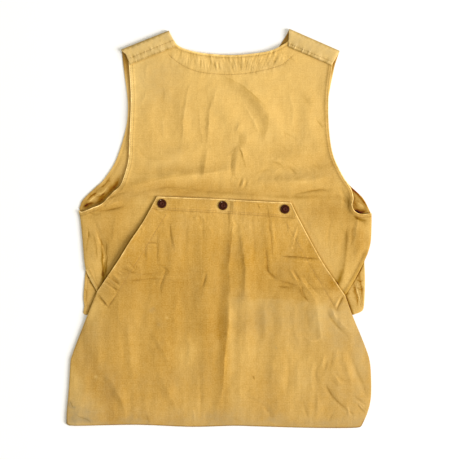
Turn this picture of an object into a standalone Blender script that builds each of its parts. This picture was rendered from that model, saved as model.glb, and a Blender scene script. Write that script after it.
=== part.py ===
"""Canvas hunting vest lying flat with its back up: every cut cloth piece is one closed solid.

X runs from the wearer's left to the right, Y from the hem to the collar and Z up from the floor.
Tables and driving sizes are in millimetres; the finished solids are in metres.
"""
import math
from collections import namedtuple

import bmesh
import bpy
import numpy as np
from mathutils import Vector
from mathutils.geometry import delaunay_2d_cdt

MM = 0.001

# Cloth and the way the layers lie on each other
CLOTH = 1.2
FACING_CLOTH = 1.0
SEAM_GAP = 0.3
BAG_SEAM_GAP = 0.45
OVERLAP_LIFT = CLOTH + SEAM_GAP
FACING_UNDERSIDE = 1.8
BACK_UNDERSIDE = 3.1
BAG_UNDERSIDE = 5.0
HANGING_UNDERSIDE = 3.4
SHOULDER_RADIUS = 2.3

# Snap caps
SNAP_RADIUS = 8.3
SNAP_HEIGHT = 3.4
SNAP_SIDES = 36
SNAP_PAD = 10.0
SNAP_EASE = 15.0
PAD_SIDES = 16

# Mesh fineness
EDGE_STEP = 9.0
CREASE_STEP = 20.0
FOLDED_SPACING = 15.0
PLAIN_SPACING = 26.0
FOLD_ARC_STEPS = 6
CURVE_STEPS = 12
ROUND_OFF = 1e-4
RING_SLACK = 0.04
INSIDE_EDGES = 1

# Rows where the upper layer steps down past the fronts' hem, and columns of the fronts' overlap
FRONT_HEM_Y = -155.2
STEP_DOWN_ROWS = (-157.0, -171.0)
OVERLAP_COLUMNS = (19.0, 26.0)
BAG_RESTS_Y = -160.0
BAG_HANGS_BELOW_Y = -230.0

# How the layers settle near an edge, as (distance in, share of the full height)
SETTLE = ((0, 0), (5, 0.6), (14, 1))
SETTLE_DEPTHS = (5, 14)
PRESSED_FLAT = ((2, 0), (16, 1))
BAG_SWELL = ((10, 0), (40, 1))
FRONT_RIM_DEPTHS = (6,)

Fold = namedtuple("Fold", "x0 y0 x1 y1 width height")
Snap = namedtuple("Snap", "name x y")
Profile = namedtuple("Profile", "radius height")

SNAPS = (
    Snap("snap_left", -102.4, 44.6),
    Snap("snap_centre", 7.2, 41.2),
    Snap("snap_right", 118.6, 34.7),
)

SNAP_PROFILE = (
    Profile(0.00, 0.00),
    Profile(0.90, 0.00),
    Profile(1.00, 0.22),
    Profile(0.96, 0.55),
    Profile(0.82, 0.76),
    Profile(0.66, 0.70),
    Profile(0.56, 0.62),
    Profile(0.50, 0.90),
    Profile(0.40, 1.00),
    Profile(0.18, 0.92),
    Profile(0.00, 0.88),
)

BACK_FOLDS = (
    Fold(-18, 262, 50, 150, 17, 2.8),
    Fold(44, 264, 122, 158, 17, 3.2),
    Fold(-138, 78, 62, 86, 11, 3.6),
    Fold(34, 78, 218, 84, 10, 3.2),
    Fold(-128, 124, 4, 148, 13, 2.6),
    Fold(84, 122, 192, 136, 13, 2.8),
    Fold(-76, 246, -52, 128, 12, 2.0),
    Fold(-128, 262, -116, 128, 15, 1.8),
    Fold(152, 268, 168, 146, 15, 2.2),
    Fold(-226, 12, -222, -88, 8, 2.4),
    Fold(238, 8, 232, -84, 10, 2.2),
)

BAG_FOLDS = (
    Fold(-22, 44, -26, -344, 20, 3.2),
    Fold(50, 40, 38, -344, 20, 3.6),
    Fold(-142, 8, -206, -330, 30, 3.0),
    Fold(-92, -40, -104, -340, 24, 2.4),
    Fold(148, -20, 214, -332, 30, 3.0),
    Fold(112, -60, 118, -344, 22, 2.6),
    Fold(-78, 30, -84, -96, 12, 1.8),
    Fold(86, 24, 92, -70, 12, 1.8),
    Fold(-190, -186, 176, -176, 14, 1.4),
)


def run(x, y):
    """Pair up the x and y columns of one smooth stretch of an outline."""
    return [tuple(map(float, pair)) for pair in zip(x, y)]


NECK = run(
    x=(-80.5, -74.7, -60, -27, 23.4, 66.6, 95.4, 119.5, 124.7),
    y=(338.2, 330, 322.6, 315.2, 311.9, 315.2, 320.9, 333.2, 338.8))
BACK_RIGHT_SHOULDER = run(x=(124.7, 206.3), y=(338.8, 303.8))
BACK_RIGHT_ARMHOLE = run(
    x=(206.3, 202, 197.5, 196.6, 199.8, 207, 223.2, 237.2, 241.6, 239.2, 244, 256, 274.5),
    y=(303.8, 281.7, 245.7, 202.5, 159.3, 126.9, 93.6, 71.8, 54.5, 42.3, 31.5, 26.1, 27.9))
RIGHT_SIDE = run(x=(274.5, 274.5, 272.9, 267.3), y=(27.9, 6.3, -24.3, -45.9))
RIGHT_SLIT = run(x=(267.3, 256, 241.2, 227), y=(-45.9, -70, -97.2, -120.6))
WAIST = run(x=(227, 212.4, -199.4, -219.5), y=(-120.6, -146.4, -142.6, -113.8))
LEFT_SLIT = run(x=(-219.5, -230.8, -239.6), y=(-113.8, -93.8, -75.6))
LEFT_SIDE = run(
    x=(-239.6, -242.5, -245.7, -249.1, -252.7),
    y=(-75.6, -56.7, -17.1, 15.3, 33.3))
BACK_LEFT_ARMHOLE = run(
    x=(-252.7, -246, -227.3, -210.1, -191.9, -180, -173.2, -163.4, -161.3, -158.9, -158.9, -162.7),
    y=(33.3, 30.2, 37.4, 45, 64.3, 74.7, 86.9, 121.5, 159.3, 213.3, 245.7, 305.6))
BACK_LEFT_SHOULDER = run(x=(-162.7, -80.5), y=(305.6, 338.2))

BAND = run(
    x=(134.5, 127.8, 113.4, 91.8, 63, 34.2, 5.4, -28.8, -52.2, -70.2, -84.6, -91.5),
    y=(312.5, 306.2, 294.7, 287.5, 281, 277.4, 277.2, 280.3, 286.7, 296.1, 306.9, 314.5))

BAG_TOP = run(x=(-111.6, -64.8, 1.8, 66.6, 129.6), y=(57.8, 55.8, 53.2, 49.4, 46.8))
BAG_RIGHT_SLANT = run(
    x=(129.6, 144.2, 182.2, 206.3, 227),
    y=(46.8, 16.7, -54, -90.2, -120.6))
BAG_RIGHT_FLARE = run(
    x=(227, 239.4, 260.8, 271.1, 273.7, 272.9, 266.9, 257),
    y=(-120.6, -154.8, -206.6, -238.5, -275, -306.9, -331.7, -354))
BAG_BOTTOM = run(
    x=(257, 245, 169.2, 71.1, 27.4, -50.6, -148.1, -245.7, -270),
    y=(-354, -358.4, -358.6, -356, -354.8, -356.6, -353, -354.8, -354.4))
BAG_LEFT_FLARE = run(
    x=(-274.5, -273.9, -270, -267.1, -264.2, -249.5, -236.3, -219.5),
    y=(-350.5, -331.2, -286.4, -240.3, -227.7, -188.8, -155.2, -113.8))
BAG_LEFT_SLANT = run(
    x=(-219.5, -182.9, -160.4, -136.3, -111.6),
    y=(-113.8, -59.9, -23.6, 12.6, 57.8))

FRONT_LEFT_EDGE = run(x=(-89, 18), y=(353.4, 148.5))
FRONT_LEFT_CLOSURE = run(x=(18, 18), y=(148.5, FRONT_HEM_Y))
FRONT_LEFT_HEM = run(x=(18, -240.7), y=(FRONT_HEM_Y, FRONT_HEM_Y))
FRONT_LEFT_CORNER = run(
    x=(-240.7, -244.2, -242.5, -243.9, -242.1, -239.6),
    y=(FRONT_HEM_Y, -152, -139.5, -123.3, -98.1, -67.5))
FRONT_LEFT_SIDE = run(x=(-239.6, -244.3, -247.7, -251.2), y=(-67.5, -17.1, 15.3, 36.9))
FRONT_LEFT_ARMHOLE = run(
    x=(-251.2, -243.9, -221.4, -207.9, -188.1, -174.6, -165.8, -163.8, -166, -169.9, -175),
    y=(36.9, 52.6, 74.7, 87.3, 117, 153, 189.9, 220.5, 249.3, 276.3, 319.2))
LEFT_FLAP = run(
    x=(-175, -167.4, -161.3, -159.8, -76.1, -89),
    y=(319.2, 312.8, 297.9, 293.9, 327.4, 353.4))

FRONT_RIGHT_ARMHOLE = run(
    x=(216, 212.8, 208.6, 205.2, 197.1, 193.5, 194.4, 200.7, 213.3, 231.3, 252, 261.4, 272.6),
    y=(316.8, 306.9, 294.3, 278.1, 236.7, 202.5, 168.3, 137.7, 108.9, 81.9, 62.1, 51.3, 29))
FRONT_RIGHT_SIDE = run(x=(272.6, 272.7, 271.1, 265.3, 261.6), y=(29, 6.3, -24.3, -45.9, -60))
FRONT_RIGHT_CORNER = run(
    x=(261.6, 262.6, 262.4, 260.5, 256, 242.1),
    y=(-60, -83.7, -114.3, -141.3, -149.4, FRONT_HEM_Y))
FRONT_RIGHT_HEM = run(x=(242.1, -10.8), y=(FRONT_HEM_Y, FRONT_HEM_Y))
FRONT_RIGHT_CLOSURE = run(x=(-10.8, -10.8), y=(FRONT_HEM_Y, 145))
FRONT_RIGHT_EDGE = run(x=(-10.8, 106, 125.6), y=(145, 324, 356.4))
RIGHT_FLAP = run(
    x=(125.6, 124.6, 201.6, 208.4, 216),
    y=(356.4, 326.3, 293, 302.9, 316.8))


def smooth(points):
    """Even points on a rounded curve through the given ones."""
    points = np.array(points)
    if len(points) == 2:
        fine = points
    else:
        ghosts = np.vstack((2 * points[0] - points[1], points, 2 * points[-1] - points[-2]))
        t = np.linspace(0, 1, CURVE_STEPS, endpoint=False)[:, None]
        pieces = []
        for p0, p1, p2, p3 in zip(ghosts, ghosts[1:], ghosts[2:], ghosts[3:]):
            pull_in, pull_out = (p2 - p0) / 2, (p3 - p1) / 2
            pieces.append((2 * t**3 - 3 * t**2 + 1) * p1 + (t**3 - 2 * t**2 + t) * pull_in
                          + (3 * t**2 - 2 * t**3) * p2 + (t**3 - t**2) * pull_out)
        fine = np.vstack(pieces + [points[-1:]])
    along = np.concatenate(([0], np.cumsum(np.hypot(*np.diff(fine, axis=0).T))))
    wanted = np.linspace(0, along[-1], max(2, round(along[-1] / EDGE_STEP) + 1))
    return np.column_stack([np.interp(wanted, along, fine[:, axis]) for axis in (0, 1)])


def outline(*runs):
    """Close the smoothed runs into one counter-clockwise loop."""
    loop = np.vstack([smooth(points) for points in runs])
    gap = np.hypot(*(loop - np.roll(loop, 1, axis=0)).T)
    loop = loop[gap > ROUND_OFF]
    x, y = loop.T
    area = np.sum(x * np.roll(y, -1) - np.roll(x, -1) * y)
    return loop if area > 0 else loop[::-1]


def distance(points, path):
    """Shortest distance from every point to an open path."""
    start, span = path[:-1], np.diff(path, axis=0)
    real = np.hypot(*span.T) > 0
    start, span = start[real], span[real]
    offset = points[:, None] - start[None]
    along = np.clip(np.sum(offset * span, axis=2) / np.sum(span**2, axis=1), 0, 1)
    return np.min(np.linalg.norm(offset - along[..., None] * span, axis=2), axis=1)


def closed(loop):
    return np.vstack((loop, loop[:1]))


def inside(points, loop):
    """Even-odd test of every point against a closed loop."""
    x, y = points[:, :1], points[:, 1:]
    (x0, y0), (x1, y1) = loop.T, np.roll(loop, -1, axis=0).T
    crosses = (y0 > y) != (y1 > y)
    rise = np.where(y1 == y0, 1, y1 - y0)
    return np.sum(crosses & (x < x0 + (y - y0) * (x1 - x0) / rise), axis=1) % 2 == 1


def ramp(values, *knots):
    """Straight-line table of (value, level) knots, level beyond its ends."""
    return np.interp(values, *np.array(knots, dtype=float).T)


def fold_height(points, folds):
    """Height of long soft ridges that fade out towards both ends."""
    height = np.zeros(len(points))
    for fold in folds:
        start = np.array((fold.x0, fold.y0))
        span = np.array((fold.x1, fold.y1)) - start
        length = np.hypot(*span)
        offset = points - start
        along = np.clip(offset @ span / length**2, 0, 1)
        across = (offset[:, 0] * span[1] - offset[:, 1] * span[0]) / length
        height += fold.height * np.sin(math.pi * along) * np.exp(-(across / fold.width) ** 2)
    return height


def cut_by_lines(loop, lines):
    """Add the crossings of straight crease lines to a loop."""
    for origin, normal in lines:
        side = (loop - origin) @ normal
        rows = []
        for here, there, s0, s1 in zip(loop, np.roll(loop, -1, axis=0), side, np.roll(side, -1)):
            rows.append(here)
            if s0 * s1 < 0:
                rows.append(here + (there - here) * s0 / (s0 - s1))
        loop = np.array(rows)
    return loop


def crease_chains(loop, lines):
    """Points along each crease line where it lies inside the loop."""
    chains = []
    for origin, normal in lines:
        direction = np.array((-normal[1], normal[0]))
        near = loop[np.abs((loop - origin) @ normal) < ROUND_OFF]
        stops = np.sort((near - origin) @ direction)
        for first, last in zip(stops, stops[1:]):
            middle = origin + direction * (first + last) / 2
            if last - first > ROUND_OFF and inside(middle[None], loop)[0]:
                count = max(2, round((last - first) / CREASE_STEP) + 1)
                steps = np.linspace(first, last, count)
                chains.append(origin + steps[:, None] * direction)
    return chains


def edge_rings(loop, depths):
    """Points that follow the loop a little way in, clear of each other and of its far edges."""
    ahead, behind = np.roll(loop, -1, axis=0), np.roll(loop, 1, axis=0)
    tangent = ahead - behind
    inward = np.column_stack((-tangent[:, 1], tangent[:, 0]))
    inward /= np.linalg.norm(inward, axis=1)[:, None]
    kept = np.empty((0, 2))
    for depth in depths:
        ring = loop + inward * depth
        ring = ring[inside(ring, loop)]
        ring = ring[distance(ring, closed(loop)) > depth * (1 - RING_SLACK)]
        kept = np.vstack((kept, thin_out(ring, kept)))
    return kept


def thin_out(points, others):
    """Drop the points that come within half an edge step of others or of each other."""
    kept = [tuple(point) for point in others]
    fresh = []
    for point in points:
        near = kept and np.min(np.hypot(*(np.array(kept) - point).T)) < EDGE_STEP / 2
        if not near:
            kept.append(tuple(point))
            fresh.append(point)
    return np.array(fresh).reshape(-1, 2)


def lattice(loop, spacing):
    """Staggered rows of points over the loop's box."""
    low, high = loop.min(axis=0), loop.max(axis=0)
    rise = spacing * math.sqrt(3) / 2
    rows = np.arange(low[1] + rise / 2, high[1], rise)
    points = []
    for number, y in enumerate(rows):
        x = np.arange(low[0] + spacing / 2 * (number % 2), high[0], spacing)
        points.append(np.column_stack((x, np.full(len(x), y))))
    return np.vstack(points)


def triangulate(loop, spacing, lines=(), depths=(), circles=()):
    """Flat triangles that fill the loop and keep its creases, rims and snap pads."""
    loop = cut_by_lines(loop, lines)
    chains = [closed(loop)] + crease_chains(loop, lines) + [closed(circle) for circle in circles]
    rim = edge_rings(loop, depths)
    field = lattice(loop, spacing)
    field = field[inside(field, loop)]
    field = field[distance(field, closed(loop)) > max(depths, default=0) + spacing / 2]
    for chain in chains[1:]:
        rim = rim[distance(rim, chain) > EDGE_STEP / 4]
        field = field[distance(field, chain) > spacing / 3]
    for circle in circles:
        rim = rim[~inside(rim, circle)]
        field = field[~inside(field, circle)]
    coordinates = np.vstack(chains + [rim, field])
    edges, start = [], 0
    for chain in chains:
        edges += [(start + i, start + i + 1) for i in range(len(chain) - 1)]
        start += len(chain)
    points, _, faces, *_ = delaunay_2d_cdt(
        [Vector(point) for point in coordinates], edges, [], INSIDE_EDGES, ROUND_OFF)
    return np.array([tuple(point) for point in points]), [tuple(face) for face in faces]


def add_sheet(name, middle, triangles, thickness, colour):
    """Thicken the middle surface of a cloth piece into a closed wall."""
    mesh = bpy.data.meshes.new(name)
    mesh.from_pydata([tuple(point * MM) for point in middle], [], triangles)
    made = add_object(name, mesh, colour, roughness=0.9)
    wall = made.modifiers.new("wall", "SOLIDIFY")
    wall.thickness = thickness * MM
    wall.offset = 0
    return made


def add_object(name, mesh, colour, roughness):
    """Put a mesh in the scene with a material of its own."""
    material = bpy.data.materials.new(name)
    material.use_nodes = True
    shader = material.node_tree.nodes["Principled BSDF"]
    shader.inputs["Base Color"].default_value = (*colour, 1)
    shader.inputs["Roughness"].default_value = roughness
    mesh.materials.append(material)
    made = bpy.data.objects.new(name, mesh)
    bpy.context.scene.collection.objects.link(made)
    return made


def corners(points):
    """Straight runs from each point to the next."""
    return [[tuple(start), tuple(end)] for start, end in zip(points, points[1:])]


def shifted(points, gap):
    """Move an open path to its left by a gap, with mitred corners."""
    points = np.array(points)
    step = np.diff(points, axis=0)
    step /= np.linalg.norm(step, axis=1)[:, None]
    miter = np.vstack((step[:1], step)) + np.vstack((step, step[-1:]))
    side = np.column_stack((-miter[:, 1], miter[:, 0]))
    return points + 2 * gap * side / np.sum(miter**2, axis=1)[:, None]


FLARED_SEAM = BAG_RIGHT_FLARE, BAG_BOTTOM, BAG_LEFT_FLARE
BAG_SEAM = np.vstack([smooth(points) for points in FLARED_SEAM])
BODY_SEAM = np.vstack([smooth(points) for points in
                       (RIGHT_SIDE, RIGHT_SLIT, *FLARED_SEAM, LEFT_SLIT, LEFT_SIDE)])
BAG_OUTLINE = outline(BAG_TOP, BAG_RIGHT_SLANT, *FLARED_SEAM, BAG_LEFT_SLANT)
LEFT_FLAP_OUTLINE = outline(*corners(LEFT_FLAP + LEFT_FLAP[:1]))
RIGHT_FLAP_OUTLINE = outline(*corners(RIGHT_FLAP + RIGHT_FLAP[:1]))


def seam_level(points):
    """Underside of the back and inner bag wall where they meet the fronts at a seam."""
    above_hem, floor = STEP_DOWN_ROWS
    return ramp(points[:, 1], (floor, 0), (above_hem, OVERLAP_LIFT))


def body_underside(points):
    """Underside of the back and inner bag wall, settling down towards the side seams."""
    above_hem, floor = STEP_DOWN_ROWS
    low = seam_level(points)
    high = ramp(points[:, 1], (floor, 0), (above_hem, BACK_UNDERSIDE))
    return low + (high - low) * ramp(distance(points, BODY_SEAM), *SETTLE)


def back_underside(points):
    """The body's underside with its folds, pressed flat under the bag and shoulder flaps."""
    folds = fold_height(points, BACK_FOLDS) * ramp(distance(points, BODY_SEAM), *SETTLE)
    for loop in (BAG_OUTLINE, LEFT_FLAP_OUTLINE, RIGHT_FLAP_OUTLINE):
        clear = np.where(inside(points, loop), 0, distance(points, closed(loop)))
        folds *= ramp(clear, *PRESSED_FLAT)
    return body_underside(points) + folds


def bag_underside(points):
    """Underside of the outer bag: seamed low at its flare, lying high over the back."""
    seam = seam_level(points) + CLOTH + BAG_SEAM_GAP
    rest = ramp(points[:, 1], (BAG_HANGS_BELOW_Y, HANGING_UNDERSIDE), (BAG_RESTS_Y, BAG_UNDERSIDE))
    rim = distance(points, BAG_SEAM)
    folds = fold_height(points, BAG_FOLDS) * ramp(rim, *BAG_SWELL)
    for snap in SNAPS:
        away = np.hypot(points[:, 0] - snap.x, points[:, 1] - snap.y)
        folds *= ramp(away, (SNAP_PAD, 0), (SNAP_PAD + SNAP_EASE, 1))
    return seam + (rest - seam) * ramp(rim, *SETTLE) + folds


def facing_underside(points):
    return np.full(len(points), FACING_UNDERSIDE)


def add_panel(name, loop, underside, colour, thickness=CLOTH, **mesh_options):
    """Make a piece that lies flat from its outline and the height of its underside."""
    points, triangles = triangulate(loop, **mesh_options)
    middle = np.column_stack((points, underside(points) + thickness / 2))
    return add_sheet(name, middle, triangles, thickness, colour)


def add_front(name, edges, flap, colour, overlap_columns=()):
    """Make a front whose shoulder folds over and laps on to the back.

    The piece is cut out flat, with the flap opened out past the fold, and is then rolled over.
    The flap runs from the end of the last edge to the start of the first.
    """
    base, tip = np.array(flap[0]), np.array(flap[-1])
    along = (tip - base) / np.hypot(*(tip - base))
    out = np.array((-along[1], along[0])) * np.sign(along[0])
    turn = math.pi * SHOULDER_RADIUS
    opened = [point + out * (turn - 2 * (point - base) @ out) for point in np.array(flap)]
    loop = outline(*edges, *corners([base, *opened, tip]))
    lines = [(base + out * turn * step / FOLD_ARC_STEPS, out) for step in range(FOLD_ARC_STEPS + 1)]
    lines += [(np.array((x, 0.0)), np.array((1.0, 0.0))) for x in overlap_columns]
    points, triangles = triangulate(loop, PLAIN_SPACING, lines, depths=FRONT_RIM_DEPTHS)

    reach = (points - base) @ out
    angle = np.clip(reach / SHOULDER_RADIUS, 0, math.pi)
    past_fold = np.maximum(reach - turn, 0)
    sideways = SHOULDER_RADIUS * np.sin(angle) - past_fold - np.maximum(reach, 0)
    height = CLOTH / 2 + SHOULDER_RADIUS * (1 - np.cos(angle))
    if overlap_columns:
        high, low = overlap_columns
        height += np.where(reach < 0, ramp(points[:, 0], (high, OVERLAP_LIFT), (low, 0)), 0)
    middle = np.column_stack((points + sideways[:, None] * out, height))
    return add_sheet(name, middle, triangles, CLOTH, colour)


def add_snap(snap, colour):
    """Turn a domed snap cap and seat it on the bag's top edge."""
    seat = bag_underside(np.array([(snap.x, snap.y)]))[0] + CLOTH + SEAM_GAP
    cap = bmesh.new()
    ring = [cap.verts.new((part.radius * SNAP_RADIUS * MM, 0, part.height * SNAP_HEIGHT * MM))
            for part in SNAP_PROFILE]
    edges = [cap.edges.new(pair) for pair in zip(ring, ring[1:])]
    bmesh.ops.spin(cap, geom=ring + edges, axis=(0, 0, 1), angle=math.tau, steps=SNAP_SIDES,
                   use_merge=True)
    bmesh.ops.remove_doubles(cap, verts=cap.verts, dist=ROUND_OFF * MM)
    bmesh.ops.recalc_face_normals(cap, faces=cap.faces)
    mesh = bpy.data.meshes.new(snap.name)
    cap.to_mesh(mesh)
    cap.free()
    mesh.shade_smooth()
    made = add_object(snap.name, mesh, colour, roughness=0.35)
    made.location = (snap.x * MM, snap.y * MM, seat * MM)
    return made


def build():
    canvas = (0.62, 0.42, 0.14)
    worn_canvas = (0.66, 0.47, 0.18)
    inside_canvas = (0.50, 0.33, 0.11)
    maroon = (0.05, 0.012, 0.006)

    for leftover in list(bpy.data.objects):
        bpy.data.objects.remove(leftover)

    add_front("front_left",
              (FRONT_LEFT_EDGE, FRONT_LEFT_CLOSURE, FRONT_LEFT_HEM, FRONT_LEFT_CORNER,
               FRONT_LEFT_SIDE, FRONT_LEFT_ARMHOLE),
              LEFT_FLAP, inside_canvas)
    add_front("front_right",
              (FRONT_RIGHT_ARMHOLE, FRONT_RIGHT_SIDE, FRONT_RIGHT_CORNER, FRONT_RIGHT_HEM,
               FRONT_RIGHT_CLOSURE, FRONT_RIGHT_EDGE),
              RIGHT_FLAP, inside_canvas, OVERLAP_COLUMNS)

    back = outline(NECK, BACK_RIGHT_SHOULDER, BACK_RIGHT_ARMHOLE, RIGHT_SIDE, RIGHT_SLIT,
                   *corners(WAIST), LEFT_SLIT, LEFT_SIDE, BACK_LEFT_ARMHOLE, BACK_LEFT_SHOULDER)
    add_panel("back", back, back_underside, canvas, spacing=FOLDED_SPACING, depths=SETTLE_DEPTHS)
    add_panel("neck_facing", outline(NECK[1:-1], BAND), facing_underside, inside_canvas,
              FACING_CLOTH, spacing=PLAIN_SPACING)

    waist_seam = [tuple(point) for point in shifted(WAIST, SEAM_GAP)]
    bag_inner = outline(*corners(waist_seam[::-1]), waist_seam[:1] + BAG_RIGHT_FLARE[1:],
                        BAG_BOTTOM, BAG_LEFT_FLARE[:-1] + waist_seam[-1:])
    rows = [(np.array((0.0, y)), np.array((0.0, 1.0))) for y in STEP_DOWN_ROWS]
    add_panel("bag_inner", bag_inner, body_underside, inside_canvas,
              spacing=PLAIN_SPACING, lines=rows, depths=SETTLE_DEPTHS)

    turn = np.arange(PAD_SIDES) * math.tau / PAD_SIDES
    pads = [np.column_stack((snap.x + SNAP_PAD * np.cos(turn), snap.y + SNAP_PAD * np.sin(turn)))
            for snap in SNAPS]
    add_panel("bag_outer", BAG_OUTLINE, bag_underside, worn_canvas,
              spacing=FOLDED_SPACING, lines=rows, depths=SETTLE_DEPTHS, circles=pads)

    for snap in SNAPS:
        add_snap(snap, maroon)


build()
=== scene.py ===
"""Dresses the canvas hunting vest: worn cloth, creases, stitching, snap caps and a plain studio.

X runs from the wearer's left to the right, Y from the hem to the collar and Z up from the floor.
Tables of places are in millimetres, as in a cutting drawing; what is made from them is in metres.
"""
import math

import bpy
import numpy as np
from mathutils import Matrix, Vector, noise
from mathutils.bvhtree import BVHTree
from mathutils.geometry import delaunay_2d_cdt
from mathutils.kdtree import KDTree


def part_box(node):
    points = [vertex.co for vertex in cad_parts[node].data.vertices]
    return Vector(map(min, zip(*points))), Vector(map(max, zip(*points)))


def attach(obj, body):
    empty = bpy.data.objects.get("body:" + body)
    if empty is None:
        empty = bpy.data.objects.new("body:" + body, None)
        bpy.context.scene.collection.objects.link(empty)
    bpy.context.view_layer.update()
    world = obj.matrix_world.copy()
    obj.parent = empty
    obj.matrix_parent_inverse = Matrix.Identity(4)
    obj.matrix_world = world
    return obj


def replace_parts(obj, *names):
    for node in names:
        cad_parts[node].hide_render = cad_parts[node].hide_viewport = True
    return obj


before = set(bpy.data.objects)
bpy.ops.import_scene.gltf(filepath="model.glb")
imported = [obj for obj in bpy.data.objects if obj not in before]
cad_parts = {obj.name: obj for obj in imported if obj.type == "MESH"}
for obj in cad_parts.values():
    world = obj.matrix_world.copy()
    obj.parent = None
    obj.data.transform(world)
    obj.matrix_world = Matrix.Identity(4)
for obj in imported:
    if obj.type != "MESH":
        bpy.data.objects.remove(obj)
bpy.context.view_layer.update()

bl_info = {
    "name": "Canvas vest dressing",
    "version": (1, 0, 0),
    "blender": (4, 5, 0),
    "location": "3D View > Sidebar > Vest",
    "description": "Builds the cloth, stitching and snap caps of a canvas vest that lies flat",
    "category": "Object",
}

MM = 0.001

# How the layers lie on each other, as in the part's source
SEAM_GAP = 0.3
BAG_SEAM_GAP = 0.45
CLOTH = 1.2
FACING_CLOTH = 1.0
OVERLAP_LIFT = CLOTH + SEAM_GAP
FACING_UNDERSIDE = 1.8
BACK_UNDERSIDE = 3.1
BAG_UNDERSIDE = 5.0
HANGING_UNDERSIDE = 3.4
SHOULDER_RADIUS = 2.3
FRONT_HEM_Y = -155.2
STEP_DOWN = (-171.0, -157.0)
OVERLAP_COLUMNS = (19.0, 26.0)
BAG_RESTS = (-230.0, -160.0)

# How far from seams, edges and snaps the cloth settles, lies pressed flat and swells, and the room
# that is left between the layers
SETTLE = 5.2
PRESSED_FLAT = (2.0, 16.0)
BAG_SWELL = (4.0, 26.0)
SNAP_PAD = (10.0, 24.0)
CLEARANCE = 0.12
FRONT_ROOM = 1.0

# Lowest levels of the back over two fronts and over one, and what keeps the bag's outer wall clear
OVER_BOTH_FRONTS = 2.95
OVER_ONE_FRONT = 2.35
INNER_WALL_LEVEL = 1.1
BAG_CLEARANCE = 0.25

# Depths of the bag's hems, and between which x or y the cloth and its looks change
BAG_TOP_HEM = 26
BAG_FACINGS = (31, 26)
FRONT_FLATTENS = (250, 276)
ARMHOLE_STRIP = (60, 110, 262, 300)
LEFT_COLUMNS = (-230, -190)
RIGHT_COLUMNS = (180, 230)

# Unevenness of worn canvas as height, reach across and along, and seed, and how far the underarm
# edges curl up, as height, x, y and reach
BACK_ROUGH = ((0.55, 52, 60, 1.7), (0.34, 17, 24, 5.2), (0.13, 6, 8, 9.4))
BAG_ROUGH = ((0.5, 46, 80, 11.7), (0.34, 15, 34, 15.2), (0.14, 6, 9, 19.4))
CURLS = ((2.6, -222, 40, 20), (3.4, 243, 38, 17))

# Fineness of the cloth
OUTLINE_STEP = 3.0
CURVE_STEPS = 12
RIM_ROUND = 0.32
RIM_THIN = 0.62
CLOSEST = 1.0
ROW_SIDE = 1.3
LINE_SIDE = 1.15
ROUND_OFF = 1e-4

# Creases narrower than the one or higher than the other get points along their paths
NARROW = 5.5
STEEP = 1.05

# Stitches: how far they pucker the cloth, from how many metres off they drop on to it, and how
# high they stand or how deep they lie in it
PUCKER_REACH = 14
DROP = 0.05
PROUD = 0.45
SUNK = -0.6
THREAD_SIDES = 5
STEEPEST_SEWN = 0.7

# The studio in metres: lights by name, place, size, share of the window's power and colour
FLOOR_SIDE = 14
FLOOR_DROP = 0.0004
SKY_COLOUR = (1.0, 0.965, 0.76, 1)
LIGHTS = (
    ("window", (7.3, -2.05, 4.0), 4.0, 1.0, (1.0, 0.99, 1.0)),
    ("high_fill", (0.6, 0.9, 2.6), 2.0, 0.014, (1.0, 1.0, 1.0)),
)
SENSOR = 36
CAMERA_MIDDLE = (0.0198, -0.0027)


def run(x, y):
    """Pair up the x and y columns of one smooth stretch of an outline."""
    return [tuple(map(float, pair)) for pair in zip(x, y)]


NECK = run(
    x=(-80.5, -74.7, -60, -27, 23.4, 66.6, 95.4, 119.5, 124.7),
    y=(338.2, 330, 322.6, 315.2, 311.9, 315.2, 320.9, 333.2, 338.8))
BACK_RIGHT_SHOULDER = run(x=(124.7, 206.3), y=(338.8, 303.8))
BACK_RIGHT_ARMHOLE = run(
    x=(206.3, 202, 197.5, 196.6, 199.8, 207, 223.2, 237.2, 241.6, 239.2, 244, 256, 274.5),
    y=(303.8, 281.7, 245.7, 202.5, 159.3, 126.9, 93.6, 71.8, 54.5, 42.3, 31.5, 26.1, 27.9))
RIGHT_SIDE = run(x=(274.5, 274.5, 272.9, 267.3), y=(27.9, 6.3, -24.3, -45.9))
RIGHT_SLIT = run(x=(267.3, 256, 241.2, 227), y=(-45.9, -70, -97.2, -120.6))
WAIST = run(x=(227, 212.4, -199.4, -219.5), y=(-120.6, -146.4, -142.6, -113.8))
LEFT_SLIT = run(x=(-219.5, -230.8, -239.6), y=(-113.8, -93.8, -75.6))
LEFT_SIDE = run(
    x=(-239.6, -242.5, -245.7, -249.1, -252.7),
    y=(-75.6, -56.7, -17.1, 15.3, 33.3))
BACK_LEFT_ARMHOLE = run(
    x=(-252.7, -246, -227.3, -210.1, -191.9, -180, -173.2, -163.4, -161.3, -158.9, -158.9, -162.7),
    y=(33.3, 30.2, 37.4, 45, 64.3, 74.7, 86.9, 121.5, 159.3, 213.3, 245.7, 305.6))
BACK_LEFT_SHOULDER = run(x=(-162.7, -80.5), y=(305.6, 338.2))

BAND = run(
    x=(134.5, 127.8, 113.4, 91.8, 63, 34.2, 5.4, -28.8, -52.2, -70.2, -84.6, -91.5),
    y=(312.5, 306.2, 294.7, 287.5, 281, 277.4, 277.2, 280.3, 286.7, 296.1, 306.9, 314.5))

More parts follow.
